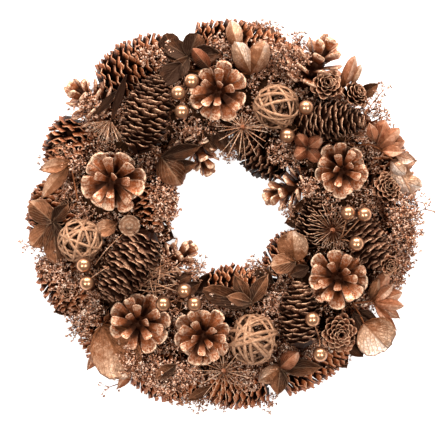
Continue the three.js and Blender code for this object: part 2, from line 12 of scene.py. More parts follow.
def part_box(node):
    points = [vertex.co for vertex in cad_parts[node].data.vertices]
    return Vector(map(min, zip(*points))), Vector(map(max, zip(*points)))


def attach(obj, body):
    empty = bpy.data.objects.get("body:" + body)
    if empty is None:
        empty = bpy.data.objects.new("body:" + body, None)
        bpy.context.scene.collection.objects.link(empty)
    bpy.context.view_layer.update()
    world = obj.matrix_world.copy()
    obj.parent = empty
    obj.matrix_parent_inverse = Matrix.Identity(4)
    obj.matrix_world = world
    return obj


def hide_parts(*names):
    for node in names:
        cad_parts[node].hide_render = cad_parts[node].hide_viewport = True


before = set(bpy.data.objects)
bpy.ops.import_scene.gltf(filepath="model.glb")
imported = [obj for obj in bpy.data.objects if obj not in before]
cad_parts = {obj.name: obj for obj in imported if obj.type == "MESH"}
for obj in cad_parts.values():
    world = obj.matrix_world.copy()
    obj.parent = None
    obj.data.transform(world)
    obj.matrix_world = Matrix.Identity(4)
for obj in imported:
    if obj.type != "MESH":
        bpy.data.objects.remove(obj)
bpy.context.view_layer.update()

# Lengths are in millimetres from the middle of the ring, as in the solids, and turned to metres by MM.
MM = 0.001
GOLDEN = math.radians(137.508)
RING_RADIUS, RING_WIDTH, RING_HEIGHT = 104, 52, 34
OUTER_CONE_ROOT = 128  # where the outer cones meet the ring
INNER_CONE_RADIUS = 18
PEARL_RADIUS, WIRE_RADIUS, TWIG_RADIUS, STEM_RADIUS = 6.4, 0.45, 0.8, 0.5
TABLE_GAP = 0.2  # how high fine things stay above what the wreath lies on
OVERHEAD = 120  # above everything, where rays start that find what lies under a place
ring_low, ring_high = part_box("straw_ring")
MIDDLE = (ring_low + ring_high) / 2


def spot(x, y, z):
    """A place in the frame, in metres."""
    return Vector((MIDDLE.x + x * MM, MIDDLE.y + y * MM, z * MM))


def posed(at, azimuth=0, elevation=90, roll=0):
    """Stands a piece at a place with its own +Z along an azimuth and an elevation, in degrees."""
    return (
        Matrix.Translation(spot(*at))
        @ Matrix.Rotation(math.radians(azimuth), 4, "Z")
        @ Matrix.Rotation(math.radians(90 - elevation), 4, "Y")
        @ Matrix.Rotation(math.radians(roll), 4, "Z")
    )


def towards(along):
    """The turn that takes +Z along a direction."""
    return along.to_track_quat("Z", "Y").to_matrix().to_4x4()


def on_circle(radius, degrees, z):
    """A place at a distance and an angle from the middle."""
    angle = math.radians(degrees)
    return radius * math.cos(angle), radius * math.sin(angle), z


# The camera looks straight down on the wreath's front.

VIEW_WIDTH = 381  # millimetres across the picture at the height of the cones
VIEW_HEIGHT = 1800
VIEW_LEVEL = 40
VIEW_MIDDLE = (-1.7, -3.4)  # the wreath isn't quite centred in the photo
SENSOR = 36


def overhead_camera():
    """A camera that looks straight down on the wreath from above it."""
    data = bpy.data.cameras.new("overhead")
    data.sensor_width = SENSOR
    data.lens = SENSOR * (VIEW_HEIGHT - VIEW_LEVEL) / VIEW_WIDTH
    data.clip_start, data.clip_end = 0.05, 20
    camera = bpy.data.objects.new("overhead", data)
    camera.location = spot(*VIEW_MIDDLE, VIEW_HEIGHT)
    bpy.context.scene.collection.objects.link(camera)
    bpy.context.scene.camera = camera


LAMP_COLOR = "#fffaf5"  # a warm white
AIM = Vector((0, 0, VIEW_LEVEL * MM))


def softbox(name, at, width, depth, power):
    """A studio softbox that faces the wreath."""
    data = bpy.data.lights.new(name, "AREA")
    data.shape, data.size, data.size_y = "RECTANGLE", width, depth
    data.energy, data.color = power, linear(LAMP_COLOR)
    lamp = bpy.data.objects.new(name, data)
    lamp.location = at
    lamp.rotation_mode = "QUATERNION"
    lamp.rotation_quaternion = (AIM - Vector(at)).to_track_quat("-Z", "Y")
    bpy.context.scene.collection.objects.link(lamp)


# Colours and materials.


def linear(color):
    """An sRGB hex colour as linear red, green and blue."""
    values = [int(color[i : i + 2], 16) / 255 for i in (1, 3, 5)]
    return tuple(v / 12.92 if v <= 0.04045 else ((v + 0.055) / 1.055) ** 2.4 for v in values)


def rgba(color):
    """An sRGB hex colour as the linear colour of a shader's input."""
    return (*linear(color), 1)


def new_material(name):
    """A material without any nodes, and its node tree."""
    material = bpy.data.materials.new(name)
    material.use_nodes = True
    material.node_tree.nodes.clear()
    return material, material.node_tree


def add(tree, kind, settings=None, *inputs):
    """Adds a node with its settings and links.

    settings go by name, and inputs follow in the node's own order. Each is a value or what it is linked
    to, which is an output, or a node for its first output.
    """
    made = tree.nodes.new("ShaderNode" + kind)
    for key, value in [*(settings or {}).items(), *enumerate(inputs)]:
        if isinstance(value, bpy.types.Node):
            value = value.outputs[0]
        if isinstance(value, bpy.types.NodeSocket):
            tree.links.new(value, made.inputs[key])
        elif isinstance(key, str) and hasattr(made, key):
            setattr(made, key, value)
        else:
            made.inputs[key].default_value = value
    return made


# What a maths node does with its inputs, and a range that eases from 0 at its second input to 1 at its third.
TIMES, TIMES_PLUS, PLUS = {"operation": "MULTIPLY"}, {"operation": "MULTIPLY_ADD"}, {"operation": "ADD"}
LESS, ABSOLUTE = {"operation": "SUBTRACT"}, {"operation": "ABSOLUTE"}
FRACTION, LARGER = {"operation": "FRACT"}, {"operation": "MAXIMUM"}
EASE = {"interpolation_type": "SMOOTHSTEP"}
# The little sheen of plant matter takes the copper of the spray.
SHEEN = {"Specular IOR Level": 0.32, "Specular Tint": rgba("#f4b894")}
# Sizes of the patterns on scales, leaves and pearls, in millimetres.
LIGHT_PATCH, WEAR, GATHERED_SPRAY = 4, 2.2, 2.6
LEAF_CLOUD, LEAF_GRAIN, LEAF_NET = 5, 0.8, 3
PEARL_CLOUD = 3
FIBRES = (2.5, 11, 0)  # waves of the fibres along and across one scale
APART = 40  # how far apart the fibres of two scales are read
MIDWAY = 0.4  # what the patches and the tones of scales add to how far out a spot is, on average
# Dry matter is rather rough and dull, and the spray smooths it a little.
PLANT_ROUGHNESS, SPRAY_ROUGHNESS, PLANT_SPECULAR = 0.52, -0.2, 0.34
SIDE_VEINS = 6.5  # along one leaf
STRAWS = (14, 120, 1)  # waves of the straw round the ring and across it


def sprayed(name, colors, reveal, cover=0.8, shine=0.5, grain=0.8, relief=0.8, patch=0.0):
    """Dry plant matter under copper spray. The spray lies on what faces the front and on rims and tips.

    colors are the bare matter in painted shade in the depths and in painted light, the spray, and its
    thickest runs. reveal is how far out a scale turns from painted shade to painted light, cover how thick
    the spray is, shine how metallic, grain the size of its mottling in mm, relief how strong its bump is, and
    patch how strongly the spray has gathered in patches at the ends.
    """
    deep, body, copper, pale = [rgba(color) for color in colors]
    material, tree = new_material(name)
    coordinates = add(tree, "TexCoord").outputs
    place = coordinates["Object"]
    normal = add(tree, "NewGeometry").outputs["Normal"]
    facing = add(tree, "SeparateXYZ", {}, normal).outputs["Z"]
    fields = [add(tree, "Attribute", {"attribute_name": key}) for key in ("tip", "rim", "tone")]
    tip, rim, tone = [node.outputs["Fac"] for node in fields]
    # Fibres run along each scale, and no two scales share them.
    along = add(tree, "VectorMath", TIMES, coordinates["UV"], FIBRES)
    shift = add(tree, "CombineXYZ", {"Z": add(tree, "Math", TIMES, tone, APART)})
    along = add(tree, "VectorMath", PLUS, along, shift)
    fibre = add(tree, "TexNoise", {"Scale": 1, "Detail": 3, "Roughness": 0.6}, along)
    mottle = add(tree, "TexNoise", {"Scale": 1 / (grain * MM), "Detail": 3, "Roughness": 0.65}, place)
    mottle = add(tree, "Math", TIMES_PLUS, fibre, 0.5, add(tree, "Math", TIMES, mottle, 0.5))
    speckle = add(tree, "MapRange", EASE, mottle, 0.43, 0.58)
    # How far out a spot is, from the depths to the tips, with some scales lighter than others. It sets
    # painted shade in the depths and painted light towards the tips, and the spray and its runs show only in
    # that painted light.
    out = add(tree, "TexNoise", {"Scale": 1 / (LIGHT_PATCH * MM)}, place)
    out = add(tree, "Math", TIMES_PLUS, out, 0.5, tip)
    out = add(tree, "Math", TIMES_PLUS, tone, 0.3, out)
    painted_light = add(tree, "MapRange", EASE, out, reveal[0] + MIDWAY, reveal[1] + MIDWAY)
    upward = add(tree, "MapRange", EASE, facing, -0.3, 0.85)
    spray = add(tree, "Math", TIMES, add(tree, "Math", TIMES, upward, painted_light), cover)
    spray = add(tree, "Math", TIMES, spray, add(tree, "Math", TIMES_PLUS, speckle, 0.6, 0.4))
    # The thickest runs are on rims, worn off here and there, on the ends, and in patches near them.
    worn = add(tree, "TexNoise", {"Scale": 1 / (WEAR * MM)}, place)
    worn = add(tree, "Math", TIMES_PLUS, add(tree, "MapRange", EASE, worn, 0.42, 0.6), 0.5, 0.04)
    run = add(tree, "Math", TIMES, rim, worn)
    ends = add(tree, "Math", TIMES, add(tree, "MapRange", EASE, tip, 0.72, 1), 0.4)
    run = add(tree, "Math", TIMES_PLUS, speckle, add(tree, "Math", PLUS, ends, 0.08), run)
    drops = {"Scale": 1 / (GATHERED_SPRAY * MM), "Detail": 3, "Roughness": 0.7}
    drops = add(tree, "MapRange", EASE, add(tree, "TexNoise", drops, place), 0.49, 0.55)
    drops = add(tree, "Math", TIMES, drops, add(tree, "MapRange", EASE, tip, 0.45, 0.95))
    run = add(tree, "Math", TIMES_PLUS, drops, patch, run)
    run = add(tree, "Math", TIMES, add(tree, "Math", TIMES, run, upward), painted_light)
    # The bare matter is painted shade (deep) in the depths and its own colour (body) in painted light.
    coated = add(tree, "MixRGB", {}, spray, add(tree, "MixRGB", {}, painted_light, deep, body), copper)
    surface = {
        "Base Color": add(tree, "MixRGB", {}, run, coated, pale),
        "Metallic": add(tree, "Math", TIMES, spray, shine),
        "Roughness": add(tree, "Math", TIMES_PLUS, spray, SPRAY_ROUGHNESS, PLANT_ROUGHNESS),
        "Specular Tint": SHEEN["Specular Tint"],
        # Bare flanks are dull, so that they don't mirror the paper below.
        "Specular IOR Level": add(tree, "Math", TIMES, upward, PLANT_SPECULAR),
        "Normal": add(tree, "Bump", {"Strength": relief, "Distance": 0.4 * MM, "Height": mottle}),
    }
    add(tree, "OutputMaterial", {}, add(tree, "BsdfPrincipled", surface))
    return material


def pearl_lacquer():
    """Plastic pearls with a rose gold lacquer: a smooth metal that mirrors the softboxes, with a painted dark
    reflection low down.
    """
    material, tree = new_material("rose_gold_lacquer")
    place = add(tree, "TexCoord").outputs["Object"]
    normal = add(tree, "NewGeometry").outputs["Normal"]
    facing = add(tree, "SeparateXYZ", {}, normal).outputs["Z"]
    cloud = add(tree, "TexNoise", {"Scale": 1 / (PEARL_CLOUD * MM)}, place)
    gold = add(tree, "MixRGB", {}, cloud, rgba("#c88e66"), rgba("#e2b08a"))
    # Painted reflection: towards the rim and underside the lacquer turns dark brown, for the dark room it
    # would mirror.
    upward = add(tree, "MapRange", EASE, facing, 0.1, 0.85)
    color = add(tree, "MixRGB", {}, upward, rgba("#5c2a14"), gold)
    surface = {"Base Color": color, "Metallic": 0.85, "Roughness": 0.32}
    add(tree, "OutputMaterial", {}, add(tree, "BsdfPrincipled", surface))
    return material


def pressed_leaf(name, colors, shine):
    """Preserved leaves under a satin coat. The tone of each leaf sets it from dark to pale."""
    material, tree = new_material(name)
    coordinates = add(tree, "TexCoord").outputs
    place = coordinates["Object"]
    along, across, _ = add(tree, "SeparateXYZ", {}, coordinates["UV"]).outputs
    fields = [add(tree, "Attribute", {"attribute_name": key}) for key in ("tone", "rim")]
    tone, rim = [node.outputs["Fac"] for node in fields]
    cloud = add(tree, "TexNoise", {"Scale": 1 / (LEAF_CLOUD * MM), "Detail": 4, "Roughness": 0.7}, place)
    grain = add(tree, "TexNoise", {"Scale": 1 / (LEAF_GRAIN * MM)}, place)
    # The midrib runs along the middle, and side veins leave it towards the tip.
    side = add(tree, "Math", ABSOLUTE, add(tree, "Math", LESS, across, 0.5))
    rib = add(tree, "MapRange", EASE, side, 0.05, 0.01)
    slant = add(tree, "Math", TIMES_PLUS, cloud, 0.16, along)
    slant = add(tree, "Math", TIMES_PLUS, side, -1.3, slant)
    wave = add(tree, "Math", FRACTION, add(tree, "Math", TIMES, slant, SIDE_VEINS))
    wave = add(tree, "Math", ABSOLUTE, add(tree, "Math", LESS, wave, 0.5))
    branch = add(tree, "Math", TIMES, add(tree, "MapRange", EASE, wave, 0.14, 0.02), 0.85)
    # A fine net between the side veins shows on the pale leaves.
    pale = add(tree, "MapRange", EASE, tone, 0.45, 0.65)
    cells = add(tree, "TexVoronoi", {"feature": "DISTANCE_TO_EDGE", "Scale": 1 / (LEAF_NET * MM)}, place)
    net = add(tree, "Math", TIMES, add(tree, "MapRange", EASE, cells, 0.2, 0.05), pale)
    web = add(tree, "Math", LARGER, add(tree, "Math", TIMES, net, 0.5), branch)
    vein = add(tree, "Math", LARGER, rib, web)
    # A leaf darkens towards its root, and along one side of its rib, where it folds, painted shade darkens
    # it.
    shade = add(tree, "Math", TIMES_PLUS, add(tree, "Math", LESS, along, 0.6), 0.5, tone)
    shade = add(tree, "Math", TIMES_PLUS, add(tree, "Math", LESS, cloud, 0.5), 0.7, shade)
    shade = add(tree, "Math", TIMES_PLUS, add(tree, "MapRange", EASE, across, 0.48, 0.53), -0.2, shade)
    ramp = add(tree, "ValToRGB", {}, shade)
    bar = ramp.color_ramp.elements
    bar[0].color, bar[1].color = rgba(colors[0]), rgba(colors[-1])
    for i, color in enumerate(colors[1:-1]):
        bar.new((i + 1) / (len(colors) - 1)).color = rgba(color)
    # On a dark leaf the veins and the rim show pale, on a pale leaf dark.
    line = add(tree, "MixRGB", {}, pale, rgba("#dcb08c"), rgba("#6e4226"))
    edge = add(tree, "Math", TIMES_PLUS, rim, 0.4, add(tree, "Math", TIMES, vein, 0.6))
    strength = add(tree, "Math", TIMES_PLUS, pale, 0.7, add(tree, "Math", TIMES, tone, 0.7))
    edge = add(tree, "Math", TIMES, edge, strength)
    height = add(tree, "Math", TIMES_PLUS, vein, 0.6, add(tree, "Math", TIMES, grain, 0.5))
    height = add(tree, "Math", PLUS, height, cloud)
    surface = {
        **SHEEN,
        "Base Color": add(tree, "MixRGB", {}, edge, ramp, line),
        "Metallic": add(tree, "Math", TIMES_PLUS, tone, shine, 0.08),
        "Roughness": 0.36,
        "Normal": add(tree, "Bump", {"Strength": 0.6, "Distance": 0.6 * MM, "Height": height}),
    }
    add(tree, "OutputMaterial", {}, add(tree, "BsdfPrincipled", surface))
    return material


def rye_straw():
    """Straw wound round the ring, dark: long fibres, with painted shade in the gaps between them."""
    material, tree = new_material("rye_straw")
    stretched = add(tree, "Mapping", {"Scale": STRAWS}, add(tree, "TexCoord").outputs["UV"])
    fibre = add(tree, "TexNoise", {"Scale": 1, "Detail": 4, "Roughness": 0.7}, stretched)
    # The fibres are in painted light and the gaps between them in painted shade.
    painted_light = add(tree, "MapRange", EASE, fibre, 0.35, 0.65)
    surface = {
        **SHEEN,
        "Base Color": add(tree, "MixRGB", {}, painted_light, rgba("#160b05"), rgba("#3f2616")),
        "Roughness": 0.8,
        "Normal": add(tree, "Bump", {"Strength": 0.9, "Distance": 1.2 * MM, "Height": fibre}),
    }
    add(tree, "OutputMaterial", {}, add(tree, "BsdfPrincipled", surface))
    return material


def studio_paper():
    """A white paper sweep that is lit evenly enough to lose its shadows."""
    material, tree = new_material("studio_paper")
    surface = {"Base Color": rgba("#f3f3f3"), "Roughness": 0.9}
    surface |= {"Emission Color": rgba("#ffffff"), "Emission Strength": 0.75}
    add(tree, "OutputMaterial", {}, add(tree, "BsdfPrincipled", surface))
    return material


# Making and placing pieces.


def pick(chosen):
    """Selects just the chosen points of the piece in edit mode."""
    mesh = bmesh.from_edit_mesh(bpy.context.object.data)
    for vertex in mesh.verts:
        vertex.select = chosen(vertex)
    mesh.select_flush_mode()
    bmesh.update_edit_mesh(bpy.context.object.data)


def alone(piece):
    """Makes one piece the only selected one."""
    bpy.ops.object.select_all(action="DESELECT")
    piece.select_set(True)
    bpy.context.view_layer.objects.active = piece


def apply(piece, kind, **settings):
    """Adds a modifier to a piece and applies it."""
    alone(piece)
    modifier = piece.modifiers.new("step", kind)
    for key, value in settings.items():
        setattr(modifier, key, value)
    bpy.ops.object.modifier_apply(modifier=modifier.name)


def mark_points(mesh, name, values):
    """Gives each point its own value of an attribute that the materials read."""
    layer = mesh.attributes.get(name) or mesh.attributes.new(name, "FLOAT", "POINT")
    layer.data.foreach_set("value", np.array(values, np.float32))


def mark(piece, **values):
    """Gives every point of a piece the same value of each attribute."""
    for name, value in values.items():
        mark_points(piece.data, name, [value] * len(piece.data.vertices))


def blade(outline, across, cup, rim, wall, sink=0.0, root=1.0, smooth=False):
    """A scale or a leaf, one unit long and one wide, with its root at the origin and its tip along +X.

    outline gives each row of points from root to tip as (distance, width, height). cup lifts its sides,
    rim is how wide its rim is, wall how thick it is at its end, and root the share of that at its root.
    sink lowers its face inside the rim.
    """
    rows = len(outline)
    bpy.ops.mesh.primitive_grid_add(x_subdivisions=rows - 1, y_subdivisions=across, size=1)
    piece = bpy.context.object
    columns = sorted({round(v.co.x, 4) for v in piece.data.vertices})
    lanes = sorted({round(v.co.y, 4) for v in piece.data.vertices})
    row_of = {v.index: columns.index(round(v.co.x, 4)) for v in piece.data.vertices}
    lane_of = {v.index: lanes.index(round(v.co.y, 4)) for v in piece.data.vertices}
    bpy.ops.object.mode_set(mode="EDIT")
    for lane, y in enumerate(lanes):
        pick(lambda v: lane_of[v.index] == lane)
        bpy.ops.transform.translate(value=(0, 0, cup * (2 * y) ** 2))
    for row, (distance, width, height) in enumerate(outline):
        pick(lambda v: row_of[v.index] == row)
        bpy.ops.transform.translate(value=(distance - columns[row], 0, height))
        bpy.ops.transform.resize(value=(1, width, 1), center_override=(distance, 0, 0))
    # The end is rounded: its outer points draw back.
    for back, share in ((1, 0.06), (2, 0.02)):
        pick(lambda v: row_of[v.index] == rows - back and lane_of[v.index] in (0, len(lanes) - 1))
        bpy.ops.transform.translate(value=(-share, 0, 0))
    bpy.ops.mesh.select_all(action="SELECT")
    bpy.ops.mesh.inset(thickness=rim, use_boundary=True)
    bpy.ops.transform.translate(value=(0, 0, -sink))
    inner = {v.index for v in bmesh.from_edit_mesh(piece.data).verts if v.select}
    bpy.ops.object.mode_set(mode="OBJECT")
    mark_points(piece.data, "rim", [v.index not in inner for v in piece.data.vertices])
    thick = piece.vertex_groups.new(name="thick")
    for vertex in piece.data.vertices:
        thick.add([vertex.index], min(1.0, max(0.0, vertex.co.x)) ** 2, "REPLACE")
    apply(piece, "SOLIDIFY", thickness=wall, offset=0, vertex_group="thick", thickness_vertex_group=root)
    if smooth:
        apply(piece, "SUBSURF", levels=1, render_levels=1)
    mark_points(piece.data, "tip", np.clip([v.co.x for v in piece.data.vertices], 0, 1))
    return piece


def read(items, name, width, kind=np.float32):
    """One property of all points, corners or faces, a row for each."""
    values = np.empty(len(items) * width, kind)
    items.foreach_get(name, values)
    return values.reshape(-1, width)


def gathered(name, template, places, material, tones=None):
    """One piece of many copies of a template, each with its own place and tone.

    Tones that aren't given are drawn from a seed that is the piece's name.
    """
    source = template.data
    points = read(source.vertices, "co", 3)
    corners = read(source.loops, "vertex_index", 1, np.int32)[:, 0]
    starts = read(source.polygons, "loop_start", 1, np.int32)[:, 0]
    matrices = np.array([np.array(place) for place in places])
    count = len(matrices)
    moved = np.einsum("nij,vj->nvi", matrices[:, :3, :3], points) + matrices[:, None, :3, 3]
    moved[:, :, 2] = moved[:, :, 2].clip(TABLE_GAP * MM)  # pressed flat where it lies on the table
    each = np.arange(count, dtype=np.int32)[:, None]
    mesh = bpy.data.meshes.new(name)
    mesh.vertices.add(count * len(points))
    mesh.vertices.foreach_set("co", moved.astype(np.float32).ravel())
    mesh.loops.add(count * len(corners))
    mesh.loops.foreach_set("vertex_index", (corners + each * len(points)).astype(np.int32).ravel())
    mesh.polygons.add(count * len(starts))
    mesh.polygons.foreach_set("loop_start", (starts + each * len(corners)).astype(np.int32).ravel())
    if source.uv_layers:
        layer = mesh.uv_layers.new(name="UVMap")
        layer.uv.foreach_set("vector", np.tile(read(source.uv_layers[0].uv, "vector", 2).ravel(), count))
    for key in ("tip", "rim"):
        values = np.zeros(len(points), np.float32)
        if key in source.attributes:
            source.attributes[key].data.foreach_get("value", values)
        mark_points(mesh, key, np.tile(values, count))
    chance = random.Random(name)
    tones = [chance.random() for _ in range(count)] if tones is None else tones
    mark_points(mesh, "tone", np.repeat(tones, len(points)))
    mesh.update(calc_edges=True)
    mesh.shade_smooth()
    mesh.materials.append(material)
    piece = bpy.data.objects.new(name, mesh)
    bpy.context.scene.collection.objects.link(piece)
    return piece


def joined(name, parts):
    """Joins parts into one piece."""
    alone(parts[0])
    for part in parts[1:]:
        part.select_set(True)
    if len(parts) > 1:
        bpy.ops.object.join()
    parts[0].name = parts[0].data.name = name
    return parts[0]


def tube(name, route, radius, material, tip=0.6, tone=0.5, taper=1.0):
    """A round stem, wire or twig along a smooth curve through given points.

    tip and tone set its colour, and taper is its radius at its end beside that at its start.
    """
    curve = bpy.data.curves.new(name, "CURVE")
    curve.dimensions = "3D"
    curve.bevel_depth = radius * MM
    curve.bevel_resolution = 1
    curve.resolution_u = 5
    curve.use_fill_caps = True
    spline = curve.splines.new("NURBS")
    spline.points.add(len(route) - 1)
    for i, (point, place) in enumerate(zip(spline.points, route)):
        point.co = (*spot(*place), 1)
        point.radius = 1 + (taper - 1) * i / (len(route) - 1)
    spline.order_u = min(3, len(route))
    spline.use_endpoint_u = True
    piece = bpy.data.objects.new(name, curve)
    bpy.context.scene.collection.objects.link(piece)
    alone(piece)
    bpy.ops.object.convert(target="MESH")
    piece = bpy.context.object
    piece.data.materials.clear()
    piece.data.materials.append(material)
    piece.data.shade_smooth()
    mark(piece, tip=tip, rim=0.0, tone=tone)
    return piece


def dress(piece, slot, *nodes):
    """The piece rides on the wreath and stands for its nodes, which it hides. slot is not used."""
    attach(piece, "root")
    if nodes:
        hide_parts(*nodes)


def scale_place(cone, turn, foot, end, width, twist=0.0):
    """Places a scale on a cone. foot and end are (distance from the axis, height) of its root and its tip."""
    run, rise = end[0] - foot[0], end[1] - foot[1]
    length = math.hypot(run, rise)
    return (
        cone
        @ Matrix.Rotation(turn, 4, "Z")
        @ Matrix.Translation((foot[0] * MM, 0, foot[1] * MM))
        @ Matrix.Rotation(-math.atan2(rise, run), 4, "Y")
        @ Matrix.Rotation(twist, 4, "X")
        @ Matrix.Diagonal((length * MM, width * MM, width * MM, 1))
    )


def upward_and_round(face):
    """A number that rises from ring to ring of a sphere's faces, and round each ring."""
    middle = face.calc_center_median()
    return 100 * round(middle.z, 4) + math.atan2(middle.y, middle.x)


def sphere(segments, ring_count):
    """A sphere of radius 1. Its faces are made in another order each run, so they are sorted."""
    bpy.ops.mesh.primitive_uv_sphere_add(segments=segments, ring_count=ring_count, radius=1)
    piece = bpy.context.object
    mesh = bmesh.new()
    mesh.from_mesh(piece.data)
    mesh.faces.sort(key=upward_and_round)
    mesh.to_mesh(piece.data)
    mesh.free()
    return piece


def spindle(cone, low, high, radius, material):
    """The dark core that a cone's scales grow from: its tip of 0 gives it the painted shade of the depths."""
    piece = sphere(10, 6)
    middle, half = (low + high) / 2, (high - low) / 2
    size = Matrix.Diagonal((radius * MM, radius * MM, half * MM, 1))
    piece.data.transform(cone @ Matrix.Translation((0, 0, middle * MM)) @ size)
    piece.data.materials.append(material)
    mark(piece, tip=0.0, rim=0.0, tone=0.0)
    return piece


# Templates of what repeats.

templates = {
    # An open pine cone's broad outer scales, and the blunt ones further in and on lying cones.
    "pine": blade(
        [(0, 0.4, 0), (0.3, 0.52, 0), (0.6, 0.86, 0.04), (0.86, 1.12, 0.12), (1.02, 0.92, 0.13)],
        across=2, cup=0.14, rim=0.055, wall=0.12, sink=0.06, root=0.5, smooth=True,
    ),
    "finger": blade(
        [(0, 0.5, 0), (0.35, 0.56, 0.03), (0.7, 0.84, 0.08), (0.93, 1.05, 0.07), (1.03, 0.86, 0)],
        across=2, cup=-0.04, rim=0.1, wall=0.3, sink=0.02, root=0.4, smooth=True,
    ),
    # Scales of the closed and the open spruce cones, and of the larch cones.
    "spruce": blade(
        [(0, 0.5, 0), (0.5, 0.9, -0.02), (0.84, 1, 0), (1, 0.8, -0.02)],
        across=4, cup=0.16, rim=0.04, wall=0.05,
    ),
    "open_spruce": blade(
        [(0, 0.5, 0), (0.5, 0.85, 0), (0.84, 1, 0.02), (1, 0.76, 0.05)],
        across=2, cup=0.2, rim=0.05, wall=0.055,
    ),
    "larch": blade(
        [(0, 0.4, 0), (0.45, 0.9, -0.04), (0.8, 1, -0.02), (1, 0.78, -0.08)],
        across=4, cup=0.22, rim=0.06, wall=0.05,
    ),
    # Leaves, and the halves of husks and pods.
    "round": blade(
        [(0, 0.12, 0), (0.07, 0.5, 0.02), (0.24, 0.86, 0.05), (0.46, 1, 0.07), (0.7, 0.95, 0.06),
         (0.88, 0.72, 0.04), (0.99, 0.34, 0)],
        across=6, cup=0.09, rim=0.03, wall=0.03,
    ),
    "leaf": blade(
        [(0, 0.12, 0), (0.14, 0.5, 0.03), (0.32, 0.9, 0.07), (0.5, 1, 0.09), (0.7, 0.76, 0.08),
         (0.88, 0.36, 0.04), (1, 0.06, 0)],
        across=4, cup=0.13, rim=0.04, wall=0.04,
    ),
    "pod": blade(
        [(0, 0.2, 0), (0.12, 0.62, 0.12), (0.32, 0.96, 0.24), (0.55, 1, 0.28), (0.78, 0.8, 0.2),
         (0.93, 0.45, 0.08), (1, 0.1, 0)],
        across=6, cup=-0.26, rim=0.04, wall=0.05,
    ),
}


def bristle_template():
    """A hair that tapers and droops, from a slim three-sided cone."""
    bpy.ops.mesh.primitive_cone_add(vertices=3, radius1=1, radius2=0.5, depth=1)
    piece = bpy.context.object
    bpy.ops.object.mode_set(mode="EDIT")
    bpy.ops.mesh.select_all(action="SELECT")
    bpy.ops.transform.translate(value=(0, 0, 0.5))
    for cut in (0.75, 0.5, 0.25):
        bpy.ops.mesh.select_all(action="SELECT")
        bpy.ops.mesh.bisect(plane_co=(0, 0, cut), plane_no=(0, 0, 1))
    for height, droop in ((0.25, 0.01), (0.5, 0.05), (0.75, 0.12), (1.0, 0.22)):
        pick(lambda v: abs(v.co.z - height) < 0.01)
        bpy.ops.transform.translate(value=(droop, 0, 0))
    bpy.ops.object.mode_set(mode="OBJECT")
    heights = np.array([v.co.z for v in piece.data.vertices], np.float32).clip(0, 1)
    mark_points(piece.data, "tip", 0.3 + 0.7 * heights)  # lighter towards its end
    mark(piece, rim=0.8)
    return piece


def sprig_template(seed):
    """A sprig of dried florets, one unit tall: forked stems that end in small open cups."""
    chance = random.Random(seed)
    parts = []

    def grown(middle, along, tip, rim, **form):
        """A slim cone, for a stem or for a cup that tapers to where it leaves its stem."""
        bpy.ops.mesh.primitive_cone_add(depth=along.length, **form)
        piece = bpy.context.object
        piece.data.transform(Matrix.Translation(middle) @ towards(along))
        mark(piece, tip=tip, rim=rim)
        parts.append(piece)

    def stem(start, end, width, tip):
        form = {"vertices": 3, "radius1": width, "radius2": width * 0.6, "end_fill_type": "NOTHING"}
        grown((start + end) / 2, end - start, tip, 0.0, **form)

    fork = Vector((0, 0, 0.4))
    stem(Vector((0, 0, 0)), fork, 0.045, 0.4)
    for i in range(5):
        angle = i * GOLDEN + chance.uniform(-0.4, 0.4)
        spread, rise = chance.uniform(0.25, 0.6), chance.uniform(0.5, 0.95)
        end = Vector((spread * math.cos(angle), spread * math.sin(angle), rise))
        stem(fork * chance.uniform(0.4, 1), end, 0.036, 0.7)
        for _ in range(4):
            jitter = Vector([chance.uniform(-0.17, 0.17) for _ in range(3)])
            along = jitter + (end - fork).normalized() * 0.07
            size = chance.uniform(0.05, 0.09)
            tip, rim = chance.uniform(0.55, 1.0), chance.choice((0.0, 1.0))
            grown(end + along / 2, along, tip, rim, vertices=4, radius1=0, radius2=size)
    return joined(f"sprig_{seed}", parts)


templates["bristle"] = bristle_template()
sprigs = [sprig_template(seed) for seed in range(3)]

# Finishes.

# In the sprayed finishes the first colour is painted shade in the depths and the second the matter's own
# colour.
PINE = ("#260e05", "#84401c", "#b86030", "#fcdcbc")
SPRUCE = ("#180703", "#46190b", "#8e4424", "#fccca6")
OUTER = ("#240d05", "#8a401c", "#c8703e", "#f8cda8")
LARCH = ("#1c0802", "#561f0c", "#b65c32", "#ffcfa8")
VINE = ("#26130a", "#83543a", "#c89874", "#f6cfae")
FLORET = ("#2e1509", "#a25834", "#e0a278", "#ffecd8")
HAIR = ("#36180b", "#8c4e2d", "#ca9268", "#fee6cc")
BARK = ("#260e06", "#683216", "#ad6c44", "#e0b08c")
CAPSULE = ("#26110a", "#5e3826", "#92694e", "#e8cdb0")
LEAF = ("#1f100a", "#482817", "#8c5b3f", "#d4ac8e", "#ffeedf")
PETAL = ("#240e07", "#66321c", "#a86a4c", "#deb094", "#ffe9d8")
# Thick woody scales, with the spray in bright patches on their blunt ends.
pine_wood = sprayed("pine_scale_copper", PINE, (0.3, 1.0), shine=0.6, grain=0.9, patch=0.5)
# Thin, papery scales: dark red-brown painted shade between them, and light only along their edges.
spruce_wood = sprayed("spruce_scale_copper", SPRUCE, (0.75, 1.16), 0.5, shine=0.6, grain=1.1, patch=0.3)
# The same on open cones, where more of each scale shows, and it is matt and lighter.
outer_wood = sprayed("open_spruce_copper", OUTER, (0.6, 1.0), 0.6, shine=0.3, grain=0.9)
# Cones at the bottom took more of the spray and look pale all over.
coated_wood = sprayed("coated_spruce_copper", OUTER, (0.5, 0.85), 0.85, shine=0.25, grain=0.9)
# Small cupped scales with fine light rims round hollows darkened by painted shade.
larch_wood = sprayed("larch_scale_copper", LARCH, (0.68, 1.06), 0.7, shine=0.3, grain=0.7, patch=0.4)
# Smooth peeled strips, beige outside and brown further in, where painted shade darkens them.
peeled_vine = sprayed("peeled_vine", VINE, (0.3, 0.9), shine=0.2, grain=1.2, relief=0.3)
